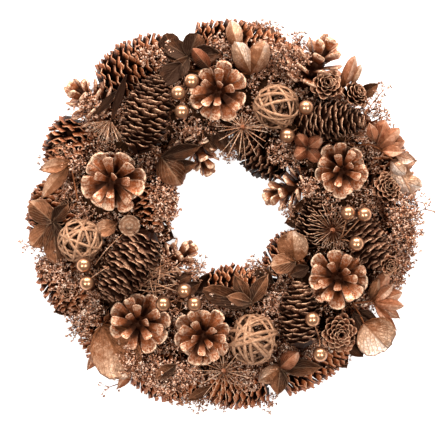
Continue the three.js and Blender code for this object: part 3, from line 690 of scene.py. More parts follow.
# Crumbs of dry flowers without any shine, from brown to nearly white.
dried_floret = sprayed(
    "dried_floret", FLORET, (0.35, 0.85), 0.9, shine=0.05, grain=1.2, relief=0.2, patch=0.4
)
# Fine smooth hairs and wires, light towards their tips.
hair = sprayed("thistle_hair", HAIR, (0.1, 0.8), shine=0.3, grain=1.5, relief=0.1)
# Rough brown twigs with a thin coat.
twig_bark = sprayed("twig_bark", BARK, (0.2, 0.9), shine=0.3)
# A dull, greyer skin with a strong, torn grain.
capsule_skin = sprayed("poppy_capsule", CAPSULE, (0.3, 1.0), 0.9, shine=0.3, grain=0.6, relief=1.0)
# Veined leaves from nearly black to cream, the pale ones with a satin gleam.
leaf_coat = pressed_leaf("preserved_leaf", LEAF, shine=0.45)
# Husks and petals: redder, and a little less shiny.
petal_coat = pressed_leaf("dried_petal", PETAL, shine=0.3)
lacquer = pearl_lacquer()

# Cones.


def along_rows(rows, t):
    """Reads a value between rows of (share, value)."""
    return float(np.interp(t, [row[0] for row in rows], [row[1] for row in rows]))


# Where a facing pine cone's scales end, as (share of the scales, share of the radius or the height).
PINE_SPREAD = [(0, 1), (0.4, 0.98), (0.45, 0.88), (0.68, 0.8), (0.74, 0.66), (0.88, 0.54), (1, 0.34)]
PINE_RISE = [(0, 0.28), (0.4, 0.42), (0.45, 0.58), (0.68, 0.68), (0.74, 0.82), (1, 1)]
SPOON_SHARE = 0.42  # of the scales, from the root up; the rest are tongues


def pine_cone(name, cone, radius, height, count=18):
    """An opened pine cone that faces the front: big spoons outside, and blunt tongues towards its tip."""
    chance = random.Random(name)
    tongues = []
    # The lowest row lies nearly flat.
    foot, end = (0.1 * radius, 0.06 * height), (0.84 * radius, 0.08 * height)
    spoons = [scale_place(cone, -(i + 1) * GOLDEN, foot, end, 0.4 * radius) for i in range(5)]
    for i in range(count):
        t = i / (count - 1)
        end = (
            radius * along_rows(PINE_SPREAD, t) * chance.uniform(0.9, 1.04),
            height * along_rows(PINE_RISE, t) * chance.uniform(0.9, 1),
        )
        foot = (0.14 * radius * (1 - t), height * (0.12 + 0.38 * t))
        turn, twist = i * GOLDEN + chance.uniform(-0.14, 0.14), chance.uniform(-0.3, 0.3)
        if t < SPOON_SHARE:
            spoons.append(scale_place(cone, turn, foot, end, radius * (0.5 - 0.12 * t), twist))
        else:
            tongues.append(scale_place(cone, turn, foot, end, radius * (0.52 - 0.28 * t), twist))
    parts = [
        gathered(name, templates["pine"], spoons, pine_wood),
        gathered(f"{name}_tongues", templates["finger"], tongues, pine_wood),
        spindle(cone, 0, height * 0.55, radius * 0.24, pine_wood),
    ]
    dress(joined(f"{name}_scales", parts), "open_pine_scale", name)


# Where a lying pine cone's scales end, as (share of the length, share of the radius), and how many degrees
# they lean from its axis there.
SIDE_SPREAD = [(0, 0.75), (0.2, 1.0), (0.45, 0.95), (0.75, 0.66), (1, 0.2)]
SIDE_LEAN = [(0, 100), (0.3, 72), (0.7, 52), (1, 12)]


def side_cone(name, cone, radius, height, count=26):
    """An opened pine cone on its side: thick fingers with knobby ends, standing well apart."""
    places = []
    for i in range(count):
        t = i / (count - 1)
        lean = math.radians(along_rows(SIDE_LEAN, t))
        out = radius * along_rows(SIDE_SPREAD, t)
        up = height * (0.14 + 0.82 * t)
        size = min(radius * 0.95, out / max(math.sin(lean), 0.3))
        foot = (out - size * math.sin(lean), up - size * math.cos(lean))
        places.append(scale_place(cone, i * GOLDEN, foot, (out, up), radius * (0.56 - 0.14 * t)))
    scales = gathered(name, templates["finger"], places, pine_wood)
    core = spindle(cone, 0, height * 0.85, radius * 0.3, pine_wood)
    dress(joined(f"{name}_scales", [scales, core]), "open_pine_scale", name)


# How many degrees a spruce cone's scales lean from its axis, by the share of its length.
CLOSED_LEAN = [(0, 70), (0.2, 54), (0.6, 46), (0.85, 36), (1, 14)]
OPEN_LEAN = [(0, 92), (0.25, 70), (0.6, 62), (0.85, 46), (1, 16)]


def spruce_scales(
    cone, radius, length, pitch=4.6, leans=CLOSED_LEAN, width=14.5, reach=16, sway=0.1, flare=1
):
    """Scales of a spruce cone. They overlap like shingles and close to a rosette.

    pitch is how far apart their rows are, leans how far they lean from the axis, and reach their length.
    sway is how much each scale turns about itself, and flare how far the scales pass the cone's radius.
    """
    count = round(length / pitch * math.tau * radius / width)
    chance = random.Random(count)
    places = []
    for i in range(count):
        t = (i + 0.5) / count
        swell = math.sin(math.pi * (0.2 + 0.7 * t)) ** 0.7
        if t > 0.75:
            # The cone closes in a round top.
            swell *= math.sqrt(1 - ((t - 0.75) / 0.27) ** 2)
        lean = math.radians(along_rows(leans, t) + chance.uniform(-6, 6))
        out = radius * swell * flare * chance.uniform(0.94, 1.03)
        up = -length / 2 + length * t + chance.uniform(-0.6, 0.6)
        size = reach * (1 - 0.45 * max(0, t - 0.7) / 0.3)  # shorter at the top
        run = min(size * math.sin(lean), out * 0.8)
        end, foot = (out, up), (out - run, up - size * math.cos(lean))
        turn = i * GOLDEN + chance.uniform(-0.12, 0.12)
        broad = width * (0.5 + 0.5 * swell)
        places.append(scale_place(cone, turn, foot, end, broad, chance.uniform(-sway, sway)))
    return places


USUAL_LARCH_SCALES = 46  # with fewer, each is wider


def larch_scales(cone, radius, height, count):
    """Cupped scales of a small cone, like the petals of a rose."""
    places = []
    for i in range(count):
        t = i / (count - 1)
        end = (radius * (1 - 0.88 * t), height * (0.4 + 0.5 * t**0.8))
        foot = (0.14 * radius * (1 - t), height * (0.05 + 0.35 * t))
        width = radius * (0.56 - 0.3 * t) * math.sqrt(USUAL_LARCH_SCALES / count)
        places.append(scale_place(cone, i * GOLDEN, foot, end, width))
    return places


def spruce_cone(name, cone, radius, length, kind="spruce", material=spruce_wood, **form):
    """A spruce cone about the middle of its length, in place of its node."""
    scales = gathered(name, templates[kind], spruce_scales(cone, radius, length, **form), material)
    core = spindle(cone, -length / 2, length / 2 - 4, radius * 0.5, material)
    dress(joined(f"{name}_scales", [scales, core]), "spruce_scale", name)


# Pine cones, each with its place, azimuth, elevation, radius and height.
FACING_CONES = [
    ((-95, 31, 33), 240, 80, 28.5, 38),
    ((-5, 105, 33), 200, 84, 27, 38),
    ((98, 39, 33), 270, 85, 24.5, 36),
    ((95, -54, 33), 100, 86, 27.5, 38),
    ((-73, -92, 33), 160, 84, 27.5, 37),
    ((-20, -102, 34), 300, 86, 25.5, 38),
]
for i, (at, azimuth, elevation, radius, height) in enumerate(FACING_CONES):
    pine_cone(f"open_cone_{i + 1}", posed(at, azimuth, elevation, i * 40), radius, height)

SIDE_CONES = [
    ((64, 107, 30), 60, 22, 25, 56),
    ((-97, 82, 29), 142, 18, 22, 52),
    ((77, 30, 27), 200, 6, 21, 50),
    ((-33, 78, 26), 294, 4, 19, 50),
    ((-68, -56, 26), 36, 4, 21, 54),
]
for i, (at, azimuth, elevation, radius, height) in enumerate(SIDE_CONES):
    side_cone(f"side_cone_{i + 1}", posed(at, azimuth, elevation), radius, height)

# Closed spruce cones, each with its place, azimuth, elevation, length and radius.
FRONT_CONES = [
    ((-66, 88, 54.5), 75, 4, 62, 21),
    ((91, 80, 50), 358, 14, 56, 16.5),
    ((-84, -45, 54), 236, 2, 66, 21),
    ((62, -82, 51.5), 92, 2, 54, 18),
    ((120, -24, 49), 304, 0, 54, 17),
]
for i, (at, azimuth, elevation, length, radius) in enumerate(FRONT_CONES):
    spruce_cone(f"spruce_cone_{i + 1}", posed(at, azimuth, elevation), radius, length)

# Open cones round the outside: (angle, length, how far out they reach).
OUTER_CONES = [
    (120, 74, 170.5), (157, 53, 167.5), (178.5, 58, 169.5), (203, 58, 169.5), (226, 54, 168.5),
    (250, 62, 167.5), (273, 58, 165.5), (302, 74, 164.5), (345, 70, 162.5), (20, 68, 163.5), (84, 88, 165.5),
]
OPEN = {"kind": "open_spruce", "material": outer_wood, "leans": OPEN_LEAN, "sway": 0.22, "flare": 1.18}
OUTER_FORM = {**OPEN, "pitch": 5.6, "width": 12.5, "reach": 15.0}
INNER_FORM = {**OPEN, "pitch": 5.2, "width": 11.5, "reach": 13}
for i, (angle, length, far) in enumerate(OUTER_CONES):
    radius = (far - OUTER_CONE_ROOT) / 2
    at = on_circle(OUTER_CONE_ROOT + radius, angle, radius + 0.35)
    place = posed(at, angle + (90 if i % 2 else -90), 0, i * 17)
    # The cones at the bottom took more of the spray.
    wood = coated_wood if 220 < angle < 310 else outer_wood
    spruce_cone(f"outer_cone_{i + 1}", place, radius, length, **{**OUTER_FORM, "material": wood})

# Open cones round the hole: (angle, length, distance from the middle, height). The first lies in shadow and
# takes the darker spruce finish as painted shade.
INNER_CONES = [(60, 50, 61, 26), (328, 46, 63, 24), (277, 52, 62, 24), (174, 52, 62, 24)]
for i, (angle, length, distance, z) in enumerate(INNER_CONES):
    place = posed(on_circle(distance, angle, z), angle + 90, 0, i * 23)
    # Painted shade: the first takes the darker spruce finish.
    form = {**INNER_FORM, "material": outer_wood if i else spruce_wood}
    spruce_cone(f"inner_cone_{i + 1}", place, INNER_CONE_RADIUS, length, **form)
spruce_cone("inner_cone_5", posed((74, -6, 42), 80, 18), 15, 44, width=11.0, reach=12.0)

# Larch cones, each with its place, azimuth, elevation, radius, height and number of scales.
LARCH_CONES = {
    "larch_cone_1": [((138, 22, 31.5), 60, 80, 15, 24, 46)],
    "larch_cone_2": [((96, -99, 32.4), 300, 84, 17.5, 28, 52)],
    "larch_cone_pair": [((84, 108, 42), 60, 78, 14.5, 24, 32), ((104, 98, 37), 36, 50, 13.5, 24, 32)],
}
for name, cones in LARCH_CONES.items():
    places = [
        place
        for at, azimuth, elevation, *form in cones
        for place in larch_scales(posed(at, azimuth, elevation), *form)
    ]
    dress(gathered(f"{name}_scales", templates["larch"], places, larch_wood), "larch_scale", name)

# Balls of peeled vine.

HOOP_THICKNESS = 0.05  # a share of the hoop's radius
BALL_DEPTH = 0.22  # how far in the innermost hoops lie, as a share of the ball's radius


def vine_hoops():
    """Two hoops of peeled vine, each a little out of round."""
    hoops = []
    for seed in range(2):
        bpy.ops.mesh.primitive_torus_add(
            major_segments=26, minor_segments=5, major_radius=1, minor_radius=HOOP_THICKNESS
        )
        hoop = bpy.context.object
        bpy.ops.object.mode_set(mode="EDIT")
        bpy.ops.mesh.select_all(action="SELECT")
        bpy.ops.transform.vertex_random(offset=0.022, seed=seed + 1)
        bpy.ops.transform.resize(value=(1, 0.975, 1.55))
        bpy.ops.object.mode_set(mode="OBJECT")
        mark(hoop, tip=0.62, rim=0.5)
        hoops.append(hoop)
    return hoops


vine_templates = vine_hoops()
HOOPS = 10  # of each kind in a ball
# Balls, each with its middle and its radius.
BALLS = [((-123.5, -22, 49), 19.5), ((42.5, 91.5, 50.2), 19.8), ((23, -105, 52.4), 22)]
for i, (at, radius) in enumerate(BALLS):
    chance = random.Random(i + 5)
    parts = []
    for k, hoop in enumerate(vine_templates):
        places, tones = [], []
        for j in range(HOOPS):
            inset = 1 - HOOP_THICKNESS - BALL_DEPTH * (j % 4) / 3 * chance.random()
            lean = math.acos(chance.uniform(-0.95, 0.95))
            # Painted shade: hoops further in take darker tones.
            tones.append(1 - 9 * (1 - HOOP_THICKNESS - inset))  # darker further in
            places.append(
                Matrix.Translation(spot(*at))
                @ Matrix.Rotation(chance.uniform(0, math.tau), 4, "Z")
                @ Matrix.Rotation(lean, 4, "X")
                @ Matrix.Scale(radius * inset * MM, 4)
            )
        parts.append(gathered(f"ball_{i}_{k}", hoop, places, peeled_vine, tones))
    dress(joined(f"vine_ball_{i + 1}_strips", parts), "vine_strip", f"vine_ball_{i + 1}")

# Pearls on wires.

templates["pearl"] = sphere(28, 16)
# Sprays, each with its pearls, the joint of their wires, and the root.
PEARL_SPRAYS = [
    ([(-29, 112, 68), (-40, 102, 70), (-37, 86.5, 70)], (-37, 97, 54), (-37, 98, 30)),
    ([(67, 90, 67), (51.5, 66.5, 61)], (61, 74, 50), (62, 74, 28)),
    ([(102, 1.5, 72), (115.5, 0.5, 73), (109, -24, 72)], (97, -20, 60), (93, -23, 30)),
    ([(-119, -42, 68), (-116.5, -57, 67)], (-112, -52, 50), (-106, -60, 24)),
    ([(-52.5, -74.5, 69), (-35, -63.5, 66), (-26.5, -74.5, 68)], (-42, -72, 52), (-45, -76, 28)),
    ([(72, -87, 75), (79, -117, 62)], (79, -104, 54), (78, -100, 26)),
]
for i, (pearls, joint, root) in enumerate(PEARL_SPRAYS):
    places = [Matrix.Translation(spot(*at)) @ Matrix.Scale(PEARL_RADIUS * MM, 4) for at in pearls]
    parts = [gathered(f"pearls_{i}", templates["pearl"], places, lacquer)]
    for at in pearls:
        middle = [(a + b) / 2 for a, b in zip(joint, at)]
        middle[2] -= 2  # the wires sag
        parts.append(tube("wire", [root, joint, middle, at], WIRE_RADIUS, hair, tip=0.8))
    dress(joined(f"pearl_spray_{i + 1}_pearls", parts), "pearl", f"pearl_spray_{i + 1}")

# Leaves.

# Each spray has its twigs and its whorls. A whorl has its head and its leaves, each with its tip, width,
# kind and tone.
SPRAYS = {
    "leaf_spray_1": (
        [[(-122, 14, 18), (-126, 12, 41), (-147, -6, 43.5)], [(-126, 12, 41), (-132, 45, 44)]],
        {
            (-147, -6, 43.5): [
                ((-166, 11, 46), 19, "round", 0.44), ((-165, -27, 44), 18, "round", 0.4),
                ((-143, -41, 45), 20, "round", 0.32), ((-133, 10, 49), 13, "leaf", 0.2),
            ],
            (-132, 45, 44): [((-159, 38, 45), 13, "leaf", 0.7), ((-157, 13, 44), 14, "leaf", 0.62)],
        },
    ),
    "leaf_spray_2": (
        [[(-34, 117, 18), (-33, 123, 35), (-32, 134, 46)], [(-33, 123, 35), (22, 120, 35), (21, 120, 44)]],
        {
            (-32, 134, 46): [
                ((-52, 146, 43), 17, "round", 0.12), ((-24, 154, 42), 19, "round", 0.14),
                ((-4, 137, 45), 18, "leaf", 0.08), ((-47, 112, 53), 15, "leaf", 0.3),
            ],
            (21, 120, 44): [((8, 146, 56), 17, "pod", 0.84), ((33, 146, 53), 19, "pod", 0.7)],
            (9.6, 142.8, 55.6): [((4, 165, 45), 14, "pod", 0.8)],
        },
    ),
    "leaf_spray_3": (
        [[(-66, 56, 18), (-60, 52, 38), (-55, 49, 43)]],
        {(-55, 49, 43): [((-38, 26, 43), 24, "pod", 0.45), ((-20, 59, 49), 14, "leaf", 0.15)]},
    ),
    "leaf_spray_4": (
        [[(70, -45, 18), (68, -43, 37), (59, -39, 44)]],
        {(59, -39, 44): [((56, -13, 50), 27, "round", 0.66), ((38, -44, 45), 18, "round", 0.5)]},
    ),
    "leaf_spray_5": (
        [[(22, -84, 18), (20, -76, 43)]],
        {
            (20, -76, 43): [
                ((7, -50, 44), 13, "leaf", 0.3), ((36, -50, 43), 14, "leaf", 0.35),
                ((-20, -63, 46), 18, "round", 0.22),
            ],
        },
    ),
    "leaf_spray_6": (
        [[(101, -67, 18), (110, -75, 36), (117, -92, 44)], [(110, -75, 36), (124, -73, 43)]],
        {
            (117, -92, 44): [((138, -113, 46), 36, "round", 0.86)],
            (124, -73, 43): [
                ((137, -48, 46), 13, "amber pod", 0.6), ((149, -66, 45), 13, "amber pod", 0.64),
                ((148, -88, 42), 12, "petal", 0.72),
            ],
        },
    ),
    "leaf_spray_7": (
        [[(46, -110, 18), (50, -119, 42), (46, -130, 44)]],
        {
            (46, -130, 44): [
                ((60, -116, 53), 14, "amber pod", 0.5), ((28, -141, 43), 14, "pod", 0.75),
                ((44, -153, 42), 16, "leaf", 0.35), ((82, -129, 45), 15, "leaf", 0.25),
            ],
        },
    ),
    "leaf_spray_8": (
        [[(-94, -82, 18), (-100, -89, 39), (-105, -94, 43)]],
        {(-105, -94, 43): [((-82, -138, 43), 42, "round", 0.64)]},
    ),
    "leaf_spray_9": (
        [
            [(103, 56, 18), (111, 60, 38), (128, 60, 46), (142, 46, 45)],
            [(109, 59, 33.5), (99, 62.5, 36.5), (70, 59, 36), (69, 57, 44)],
        ],
        {
            (128, 60, 46): [((134, 80, 50), 14, "amber pod", 0.45), ((151, 62, 48), 17, "amber pod", 0.5)],
            (142, 46, 45): [((162, 46, 46), 16, "petal", 0.6), ((158, 16, 44), 17, "pod", 0.92)],
            (69, 57, 44): [
                ((80, 65, 53), 12, "amber pod", 0.5), ((60, 67, 53), 12, "amber pod", 0.4),
                ((59, 49, 53), 12, "amber pod", 0.45), ((78, 46, 53), 12, "amber pod", 0.35),
            ],
        },
    ),
}
# What a kind of leaf is shaped and coated like.
KINDS = {
    "round": ("round", leaf_coat),
    "leaf": ("leaf", leaf_coat),
    "pod": ("pod", leaf_coat),
    "petal": ("leaf", petal_coat),
    "amber pod": ("pod", petal_coat),
}


def leaf_place(root, tip, width, roll=0.0):
    """Places a leaf from its root to its tip with its face up, and rolls it about its rib."""
    start, end = spot(*root), spot(*tip)
    along = (end - start).normalized()
    across = Vector((0, 0, 1)).cross(along).normalized()
    face = along.cross(across)
    turn = Matrix((along, across, face)).transposed().to_4x4()
    size = Matrix.Diagonal(((end - start).length, width * MM, width * MM, 1))
    return Matrix.Translation(start) @ turn @ Matrix.Rotation(math.radians(roll), 4, "X") @ size


def leaves(name, placed):
    """Leaves of every kind, from (root, tip, width, kind, tone) entries."""
    parts = []
    chance = random.Random(name)
    for kind, (shape, coat) in KINDS.items():
        mine = [entry for entry in placed if entry[3] == kind]
        if mine:
            rolls = [chance.uniform(-16, 16) for _ in mine]
            places = [leaf_place(*entry[:3], roll) for entry, roll in zip(mine, rolls)]
            tones = [tone for *_, tone in mine]
            parts.append(gathered(f"{name}_{kind}", templates[shape], places, coat, tones))
    return parts


for name, (twigs, whorls) in SPRAYS.items():
    placed = [(head, *leaf) for head, tips in whorls.items() for leaf in tips]
    parts = leaves(name, placed)
    parts += [tube("twig", route, TWIG_RADIUS, twig_bark) for route in twigs]
    dress(joined(f"{name}_leaves", parts), "dry_leaf", name)

# The poppy pod.

POD_RADIUS, POD_HEIGHT = 7.5, 12
POD_PLACE = (-81, -9, 58)
# The rings of its crown, from the edge to the middle, as (width, rise).
CROWN = [(1.1, 1.0), (1.5, -2.2), (1.6, 1.6), (1.3, -1.4), (1.3, 1.4), (0.9, 0.9)]


def poppy_pod():
    """The capsule: narrow at its stalk, wide at its ringed crown."""
    bpy.ops.mesh.primitive_cylinder_add(vertices=24, radius=POD_RADIUS * MM, depth=POD_HEIGHT * MM)
    pod = bpy.context.object
    bpy.ops.object.mode_set(mode="EDIT")
    pick(lambda v: v.co.z > 0)
    bpy.ops.transform.resize(value=(1.3, 1.3, 1))
    for width, rise in CROWN:
        bpy.ops.mesh.inset(thickness=width * MM)
        bpy.ops.transform.translate(value=(0, 0, rise * MM))
    pick(lambda v: v.co.z < -5 * MM)
    bpy.ops.transform.resize(value=(0.3, 0.3, 1))
    bpy.ops.object.mode_set(mode="OBJECT")
    apply(pod, "SUBSURF", levels=1, render_levels=1)
    pod.data.transform(Matrix.Translation(spot(*POD_PLACE)))
    pod.data.materials.append(capsule_skin)
    pod.data.shade_smooth()
    mark(pod, tip=0.7, rim=0.0, tone=0.5)
    # The ridges of the crown are paler.
    top = max(v.co.z for v in pod.data.vertices)
    mark_points(pod.data, "rim", [0.8 if v.co.z > top - 1.4 * MM else 0 for v in pod.data.vertices])
    return pod


pod_parts = leaves("heart", [((-94, -8, 45), (-110, -15, 51), 15, "round", 0.6)])
pod_parts.append(tube("stalk", [(-90, -14, 28), (-84, -10, 46), (-81, -9, 54)], TWIG_RADIUS, twig_bark))
dress(joined("poppy_pod_capsule", [poppy_pod(), *pod_parts]), "dry_leaf", "poppy_pod")

# Seed heads.

# Each has its hub, its root, how far its rays reach, how many there are, how much the upper ones lack,
# and the tone of its darkest rays.
SEED_HEADS = [
    ((14, 74, 52), (14, 84, 24), 34, 23, 0.6, 0),
    ((-2, -132, 50), (-2, -119, 20), 32, 21, 0.1, 0),
    ((90, -13, 54), (90, -13, 28), 19, 36, -0.5, -0.9),
]
RAY_WIDTH, STALK_RADIUS = 0.6, 1.2


def seed_head(name, hub, root, reach, count, lack, darkest):
    """A dried seed head: fine rays that leave a hub, mostly flat, with some that stand up."""
    chance = random.Random(name)
    places = []
    for j in range(count):
        azimuth = math.degrees(j * GOLDEN)
        short = 1 - lack * (0.5 + 0.5 * math.sin(math.radians(azimuth)))
        length = reach * short * chance.uniform(0.75, 1.0)
        turn = posed(hub, azimuth, chance.uniform(-6, 32), chance.uniform(0, 360))
        places.append(turn @ Matrix.Diagonal((RAY_WIDTH * MM, RAY_WIDTH * MM, length * MM, 1)))
    hub_core = spindle(posed(hub), -2, 2.5, 2.6, petal_coat)
    mark(hub_core, tip=0.8, rim=0.0, tone=0.6)
    tones = [chance.uniform(darkest, darkest + 1) for _ in places]
    rays = gathered(f"{name}_rays", templates["bristle"], places, hair, tones)
    return [rays, tube("stem", [root, hub], STALK_RADIUS, hair), hub_core]


for i, form in enumerate(SEED_HEADS):
    name = f"seed_head_{i + 1}"
    dress(joined(f"{name}_hairs", seed_head(name, *form)), "bristle", name)

# Dried florets.

CARRIERS = ("straw", "open", "side", "spruce", "outer", "inner", "larch", "floret", "leaf_spray_8")


def carrier_tree():
    """What florets can root on: the solids of the ring, the cones, the clumps and one large leaf."""
    points, faces, owners = [], [], []
    for name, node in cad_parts.items():
        if name.startswith(CARRIERS):
            first = len(points)
            points += [v.co.copy() for v in node.data.vertices]
            faces += [[first + v for v in face.vertices] for face in node.data.polygons]
            owners += [name] * len(node.data.polygons)
    return BVHTree.FromPolygons(points, faces), owners


carriers, owners = carrier_tree()
UP = Vector((0, 0, 1))
HIGHEST_FLORET = 50  # florets leave the cones' fronts free
FILLERS, HIGHEST_FILLER = 1500, 36  # sprigs that are tried between the cones, and how high they may root
RING_INSIDE, RING_OUTSIDE = 72, 138  # where the fillers lie
EDGE_SPRIGS, EDGE_ROOTS = 700, (124, 82)  # longer ones, and where they leave the ring, outwards and inwards


def rooted(at, height, chance):
    """Roots a sprig where it meets the wreath below, growing out of what it meets and to the front.

    It gives nothing where it would stand on the front of a cone.
    """
    hit, normal, face, _ = carriers.ray_cast(at, -UP)
    if hit is None or hit.z > HIGHEST_FLORET * MM or owners[face].startswith(("open", "larch")):
        return None
    sway = Vector([chance.uniform(-0.45, 0.45) for _ in range(3)])
    along = (normal * 0.5 + UP * 0.7 + sway).normalized()
    spin = Matrix.Rotation(chance.uniform(0, math.tau), 4, "Z")
    return Matrix.Translation(hit - along * MM) @ towards(along) @ spin @ Matrix.Scale(height * MM, 4)


# Thick clumps: (x, y, reach along x, reach along y, sprigs).
CLUMPS = [
    (-50, 136, 24, 7, 36), (40, 139, 14, 7, 32), (54, 128, 12, 12, 50), (-114, 89, 10, 12, 36),
    (-133, 34, 8, 20, 40), (-65, 43, 8, 14, 34), (-52, 13, 9, 18, 46), (-14, 71, 20, 8, 40),
    (50, 55, 12, 10, 40), (76, 21, 12, 8, 40), (154, 16, 8, 10, 34), (151, -8, 9, 16, 70),
    (147, -34, 10, 12, 60), (138, -54, 8, 10, 36), (131, 94, 10, 10, 30), (-149, -38, 10, 14, 44),
    (-134, -58, 9, 10, 24), (-118, -90, 12, 12, 40), (-62, -22, 10, 12, 24), (-50, -46, 12, 10, 12),
    (-70, -122, 14, 14, 70), (-50, -138, 16, 12, 80), (-32, -130, 12, 12, 50), (-9, -77, 14, 8, 36),
    (46, -68, 9, 14, 50), (65, -112, 22, 7, 60), (14, -137, 12, 9, 38), (122, -77, 12, 7, 36),
    (-1, 140, 10, 8, 26), (80, 10, 12, 10, 30), (125, 64, 10, 10, 24),
]


def florets():
    """Sprigs in the thick clumps, and shorter ones that fill what shows of the ring between the cones."""
    chance = random.Random(7)
    places = []
    for x, y, wide, deep, count in CLUMPS:
        for _ in range(count):
            angle, share = chance.uniform(0, math.tau), math.sqrt(chance.random())
            at = spot(x + wide * share * math.cos(angle), y + deep * share * math.sin(angle), OVERHEAD)
            places.append(rooted(at, chance.uniform(9, 13), chance))
    for _ in range(FILLERS):
        radius = math.sqrt(chance.uniform(RING_INSIDE**2, RING_OUTSIDE**2))
        at = spot(*on_circle(radius, chance.uniform(0, 360), OVERHEAD))
        hit, _, _, _ = carriers.ray_cast(at, -UP)
        if hit and hit.z < HIGHEST_FILLER * MM:
            places.append(rooted(at, chance.uniform(7, 11), chance))
    for i in range(EDGE_SPRIGS):
        # Two in three point outwards. They fill what the outer and the inner cones leave open.
        angle = chance.uniform(0, 360)
        outside = i % 3 > 0
        radius = EDGE_ROOTS[0] if outside else EDGE_ROOTS[1]
        height = chance.uniform(15, 24) if outside else chance.uniform(9, 14)
        at = spot(*on_circle(radius, angle, chance.uniform(8, 24)))
        along = Matrix.Rotation(math.radians(angle + chance.uniform(-25, 25)), 3, "Z") @ Vector((1, 0, 0.15))
        turn = towards(along if outside else -along)
        places.append(Matrix.Translation(at) @ turn @ Matrix.Scale(height * MM, 4))
    return [place for place in places if place is not None]


places = florets()
GROUPS = 4  # a quarter of the wreath each, so that no piece is too heavy
CLUMP_NODES = {3: ["floret_clump_1"], 2: ["floret_clump_2"]}
for i in range(GROUPS):
    mine = [p for p in places if int((math.atan2(p[1][3], p[0][3]) / math.tau % 1) * GROUPS) == i]
    parts = [gathered(f"florets_{i}_{k}", sprigs[k], mine[k::3], dried_floret) for k in range(3)]
    dress(joined(f"florets_{i + 1}", parts), "dried_floret", *CLUMP_NODES.get(i, []))

# Small things tucked in between, by kind: (root, tip, width, tone). The darkest leaves fill gaps between the
# cones as painted shade.
TUCKED = {
    "round": [
        ((-22, 72, 38), (-9, 54, 38), 13, 0.2), ((-40, 132, 43), (-52, 154, 42), 18, 0.1),
    ],
    "leaf": [
        ((-84, 118, 60), (-97, 78, 64), 7, 0.0), ((-92, 104, 58), (-112, 82, 54), 7, 0.05),
        ((-12, -146, 34), (-34, -159, 30), 9, 0.45), ((-38, 128, 55), (-57, 107, 56), 18, 0.08),
        ((-42, -126, 60), (-60, -138, 59), 12, 0.35), ((70, -44, 50), (53, -51, 50), 12, 0.1),
        ((22, -74, 52), (0, -69, 50), 12, 0.4), ((110, -82, 34), (131, -97, 36), 15, 0.1),
        ((108, -84, 40), (122, -106, 42), 14, 0.15), ((-48, 38, 40), (-24, 44, 42), 13, 0.2),
        ((-10, 74, 38), (2, 52, 40), 13, 0.1), ((8, 72, 36), (15, 51, 38), 12, 0.15),
        ((-48, -60, 34), (-27, -50, 36), 12, 0.25), ((-40, -68, 40), (-21, -57, 40), 12, 0.1),
        ((76, 10, 34), (57, 3, 36), 13, 0.15), ((78, -2, 34), (58, -6, 34), 12, 0.1),
        ((102, -104, 26), (118, -122, 20), 15, 0.1), ((-104, 60, 24), (-120, 74, 24), 16, 0.05),
        ((-96, 96, 26), (-112, 112, 26), 18, 0.05), ((-48, 110, 30), (-58, 126, 30), 14, 0.05),
        ((-26, -66, 30), (-8, -50, 26), 16, 0.05), ((-100, -70, 14), (-126, -84, 12), 20, 0.1),
        ((-96, -88, 14), (-118, -104, 12), 20, 0.1), ((-118, -70, 12), (-149, -84, 10), 20, 0.15),
        ((122, 14, 14), (156, 20, 12), 20, 0.1), ((128, 0, 14), (159, 4, 12), 20, 0.15),
        ((130, -14, 14), (159, -18, 12), 20, 0.1), ((128, -30, 14), (154, -40, 12), 20, 0.15),
        ((40, -58, 36), (25, -43, 36), 12, 0.2), ((88, -112, 20), (104, -132, 16), 18, 0.1),
        ((112, 100, 40), (130, 112, 44), 12, 0.3), ((-62, -12, 30), (-44, -20, 30), 16, 0.1),
        ((-64, -26, 26), (-45, -31, 26), 15, 0.15), ((68, -4, 30), (50, -7, 30), 14, 0.15),
        ((-30, -66, 24), (-16, -54, 22), 14, 0.05), ((-4, -136, 18), (6, -152, 16), 16, 0.05),
        ((96, -20, 26), (108, -34, 26), 16, 0.05),
    ],
    "pod": [
        ((107, 112, 44), (114, 127, 48), 7, 0.8), ((150, 30, 46), (166, 24, 46), 13, 0.96),
        ((140, 46, 49), (151, 34, 51), 12, 1.0), ((123, -70, 47), (129, -54, 49), 9, 0.6),
    ],
    "petal": [
        ((-104, -112, 30), (-119, -133, 30), 10, 0.6), ((-80, -132, 30), (-93, -149, 28), 9, 0.6),
        ((132, 54, 50), (151, 53, 53), 11, 0.75), ((126, 62, 49), (121, 78, 51), 10, 0.5),
        ((144, 50, 49), (160, 46, 51), 11, 0.95), ((126, -73, 47), (143, -57, 49), 9, 0.75),
        ((126, -76, 46), (145, -98, 45), 8, 0.7), ((-84, 0, 48), (-78, -22, 48), 17, 0.3),
    ],
    "amber pod": [
        ((99, 108, 42), (109, 134, 50), 11, 0.7), ((-14, 124, 52), (-28, 140, 54), 12, 0.3),
        ((130, 58, 49), (146, 73, 53), 12, 0.6), ((126, -74, 47), (150, -77, 49), 10, 0.65),
    ],
}
placed = [(*leaf[:3], kind, leaf[3]) for kind, mine in TUCKED.items() for leaf in mine]
dress(joined("tucked_leaves", leaves("tucked", placed)), "dry_leaf")

# Small larch cones, each with its x, y and azimuth.
SMALL_CONES = [(-31, 66, 80), (-139, 54, 150), (-137, 10, 200), (-134, -64, 210), (137, -42, 330)]


def small_cones():
    """The small larch cones, set down on what lies under them."""
    places = []
    for x, y, azimuth in SMALL_CONES:
        hit, _, _, _ = carriers.ray_cast(spot(x, y, OVERHEAD), -UP)
        if hit:
            cone = posed((x, y, hit.z / MM - 4), azimuth, 78)  # let in a little
            places += larch_scales(cone, radius=9.5, height=14, count=32)
    return gathered("small_larch_cones", templates["larch"], places, larch_wood)


dress(small_cones(), "larch_scale")

# Fine twigs.

